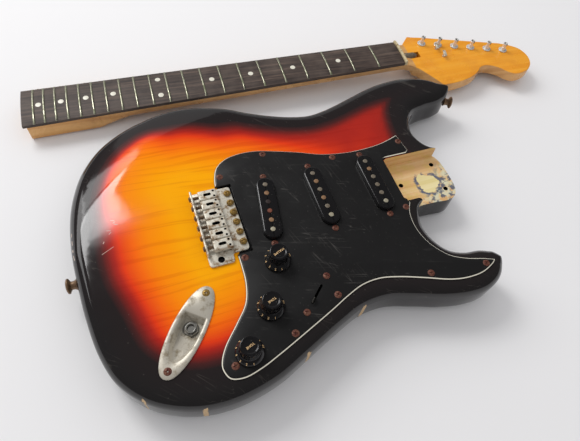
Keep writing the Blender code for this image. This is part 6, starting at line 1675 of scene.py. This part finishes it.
@dataclass
class Studio:
    """A plain pale floor, soft light from behind and above, and the camera at the photo's angle."""

    origin: np.ndarray
    azimuth: float = 28.006
    elevation: float = 57.828
    roll: float = 10.054
    lens: float = 30.753
    at: tuple[float, float, float] = (-59.4, -244.68, 454.27)
    aim: tuple[float, float, float] = (-100.0, 45.0, 42.0)
    distance: float = 2.6

    def build(self) -> None:
        """Makes the floor, the lights, the world and the camera."""
        self.floor()
        self.camera()
        self.lamp("window", -20.5, 48.5, (0.8, 0.84), 10.5)
        self.lamp("window_low", -18, 32.5, (0.8, 0.45), 3.2)
        self.lamp("window_glow", -43, 33, (1.3, 1.05), 3.0)
        self.lamp("wall", 14, 17, (2.4, 1.1), 0.34)
        world = bpy.data.worlds.new("studio")
        world.use_nodes = True
        bpy.context.scene.world = world
        nodes = Nodes(world.node_tree)
        ground = world.node_tree.nodes["Background"]
        seen = nodes.add("ShaderNodeLightPath").outputs["Is Camera Ray"]
        glossy = nodes.add("ShaderNodeLightPath").outputs["Is Glossy Ray"]
        room = nodes.mix(glossy, linear((211, 211, 213)), linear((86, 86, 87)))
        nodes.put(ground.inputs["Color"], nodes.mix(seen, room, linear((240, 240, 240))))
        nodes.put(ground.inputs["Strength"], 1.0)
        view = bpy.context.scene.view_settings
        view.view_transform = "Standard"

    def floor(self) -> None:
        """The floor under the whole, matt and pale."""
        mesh = bpy.data.meshes.new("floor")
        mesh.from_pydata([(-6, -6, 0), (6, -6, 0), (6, 6, 0), (-6, 6, 0)], [], [(0, 1, 2, 3)])
        material = bpy.data.materials.new("floor")
        material.use_nodes = True
        shader = material.node_tree.nodes["Principled BSDF"]
        shader.inputs["Base Color"].default_value = linear((236, 235, 235))
        shader.inputs["Roughness"].default_value = 0.9
        shader.inputs["Specular IOR Level"].default_value = 0.1
        mesh.materials.append(material)
        floor = bpy.data.objects.new("floor", mesh)
        bpy.context.scene.collection.objects.link(floor)

    def lamp(self, name: str, azimuth: float, elevation: float, size: tuple[float, float], radiance: float) -> None:
        """A soft rectangular light that faces the body's near end.

        Args:
            name: the lamp's name.
            azimuth: its direction round the vertical, in degrees from y towards x.
            elevation: its height above the horizon in degrees.
            size: its width and height in metres.
            radiance: how bright its face is: a white matt surface under an even sky of 1 renders as 1.
        """
        round_it, up = math.radians(azimuth), math.radians(elevation)
        way = Vector((math.sin(round_it) * math.cos(up), math.cos(round_it) * math.cos(up), math.sin(up)))
        data = bpy.data.lights.new(name, "AREA")
        data.shape = "RECTANGLE"
        data.size, data.size_y = size
        data.energy = radiance * math.pi * size[0] * size[1]
        lamp = bpy.data.objects.new(name, data)
        lamp.location = Vector((self.origin + self.aim) * MM) + way * self.distance
        lamp.rotation_euler = (-way).to_track_quat("-Z", "Y").to_euler()
        bpy.context.scene.collection.objects.link(lamp)

    def camera(self) -> None:
        """The camera: looks down along its azimuth, rolled about its own axis."""
        azimuth, elevation, roll = (math.radians(v) for v in (self.azimuth, self.elevation, self.roll))
        forward = Vector((math.sin(azimuth) * math.cos(elevation), math.cos(azimuth) * math.cos(elevation),
                          -math.sin(elevation)))
        level = Vector((math.cos(azimuth), -math.sin(azimuth), 0))
        above = level.cross(forward)
        right = level * math.cos(roll) + above * math.sin(roll)
        up = right.cross(forward)
        turn = Matrix((right, up, -forward)).transposed()
        data = bpy.data.cameras.new("camera")
        data.lens = self.lens
        data.sensor_width = 36.0
        data.clip_start = 0.02
        camera = bpy.data.objects.new("camera", data)
        place = Vector((self.origin + self.at) * MM)
        camera.matrix_world = Matrix.Translation(place) @ turn.to_4x4()
        bpy.context.scene.collection.objects.link(camera)
        bpy.context.scene.camera = camera


def body_frame() -> Frame:
    """The body's frame, from the back cover: its middle lies at x = 33 on the centre line, and it is lowest."""
    low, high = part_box("back_cover")
    origin = ((low.x + high.x) / 2 - 33 * MM, (low.y + high.y) / 2, low.z + 2.6 * MM)
    return Frame(origin, (1, 0, 0), (0, 1, 0), (0, 0, 1))


def neck_frame() -> Frame:
    """The neck's frame, from the first tuner's joints: its post stands along z and its button's shaft along y."""
    joints = {joint["name"]: joint for joint in frame["joints"]}
    post, button = joints["tuner_1_post_turn"], joints["tuner_1_button_turn"]
    z = np.array(post["axis"], float)
    side = np.array(button["axis"], float)
    along = np.cross(side, z)
    turn = math.radians(-TUNER_TURN)
    x = math.cos(turn) * along + math.sin(turn) * side
    y = math.cos(turn) * side - math.sin(turn) * along
    origin = np.array(post["pos_m"]) - (x * TUNER_FIRST[0] + y * TUNER_FIRST[1]) * MM
    return Frame(origin, x, y, z)


def dress_nodes(paint: Paint) -> None:
    """Gives every CAD node a finish, by the word in its name."""
    words = {
        "shaft": Kind.BRASS, "case": Kind.STEEL, "spring": Kind.STEEL, "claw": Kind.STEEL, "block": Kind.STEEL,
        "tuner": Kind.CHROME, "saddle": Kind.OLD_CHROME, "bridge_plate": Kind.OLD_CHROME, "jack": Kind.CHROME,
        "knob": Kind.BLACK_GLOSS, "pickup": Kind.BLACK_GLOSS, "guard": Kind.BLACK_MATT, "cover": Kind.BLACK_MATT,
        "strap": Kind.BRASS, "nut": Kind.BONE, "fretboard": Kind.FIBRE, "neck": Kind.WALNUT,
    }
    for name, node in frame["nodes"].items():
        kind = next((kind for word, kind in words.items() if word in name), Kind.STEEL)
        node.data.materials.clear()
        node.data.materials.append(paint.plain(kind))


def main() -> None:
    """Builds the pieces and the studio, and logs each assembly as it is built."""
    logging.basicConfig(level=logging.INFO)
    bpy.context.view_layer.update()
    paint = Paint(Effects())
    dress_nodes(paint)
    body, neck = body_frame(), neck_frame()
    for kind, place in ((Body, body), (Pickguard, body), (Pickups, body), (Controls, body), (Bridge, body),
                        (Jack, body), (Trim, body), (Neck, neck), (Fretboard, neck), (Tuners, neck)):
        kind(place, paint).build()
        LOG.info("built %s", kind.__name__)
    Studio(body.matrix[:3, 3]).build()


if __name__ == "__main__":
    main()
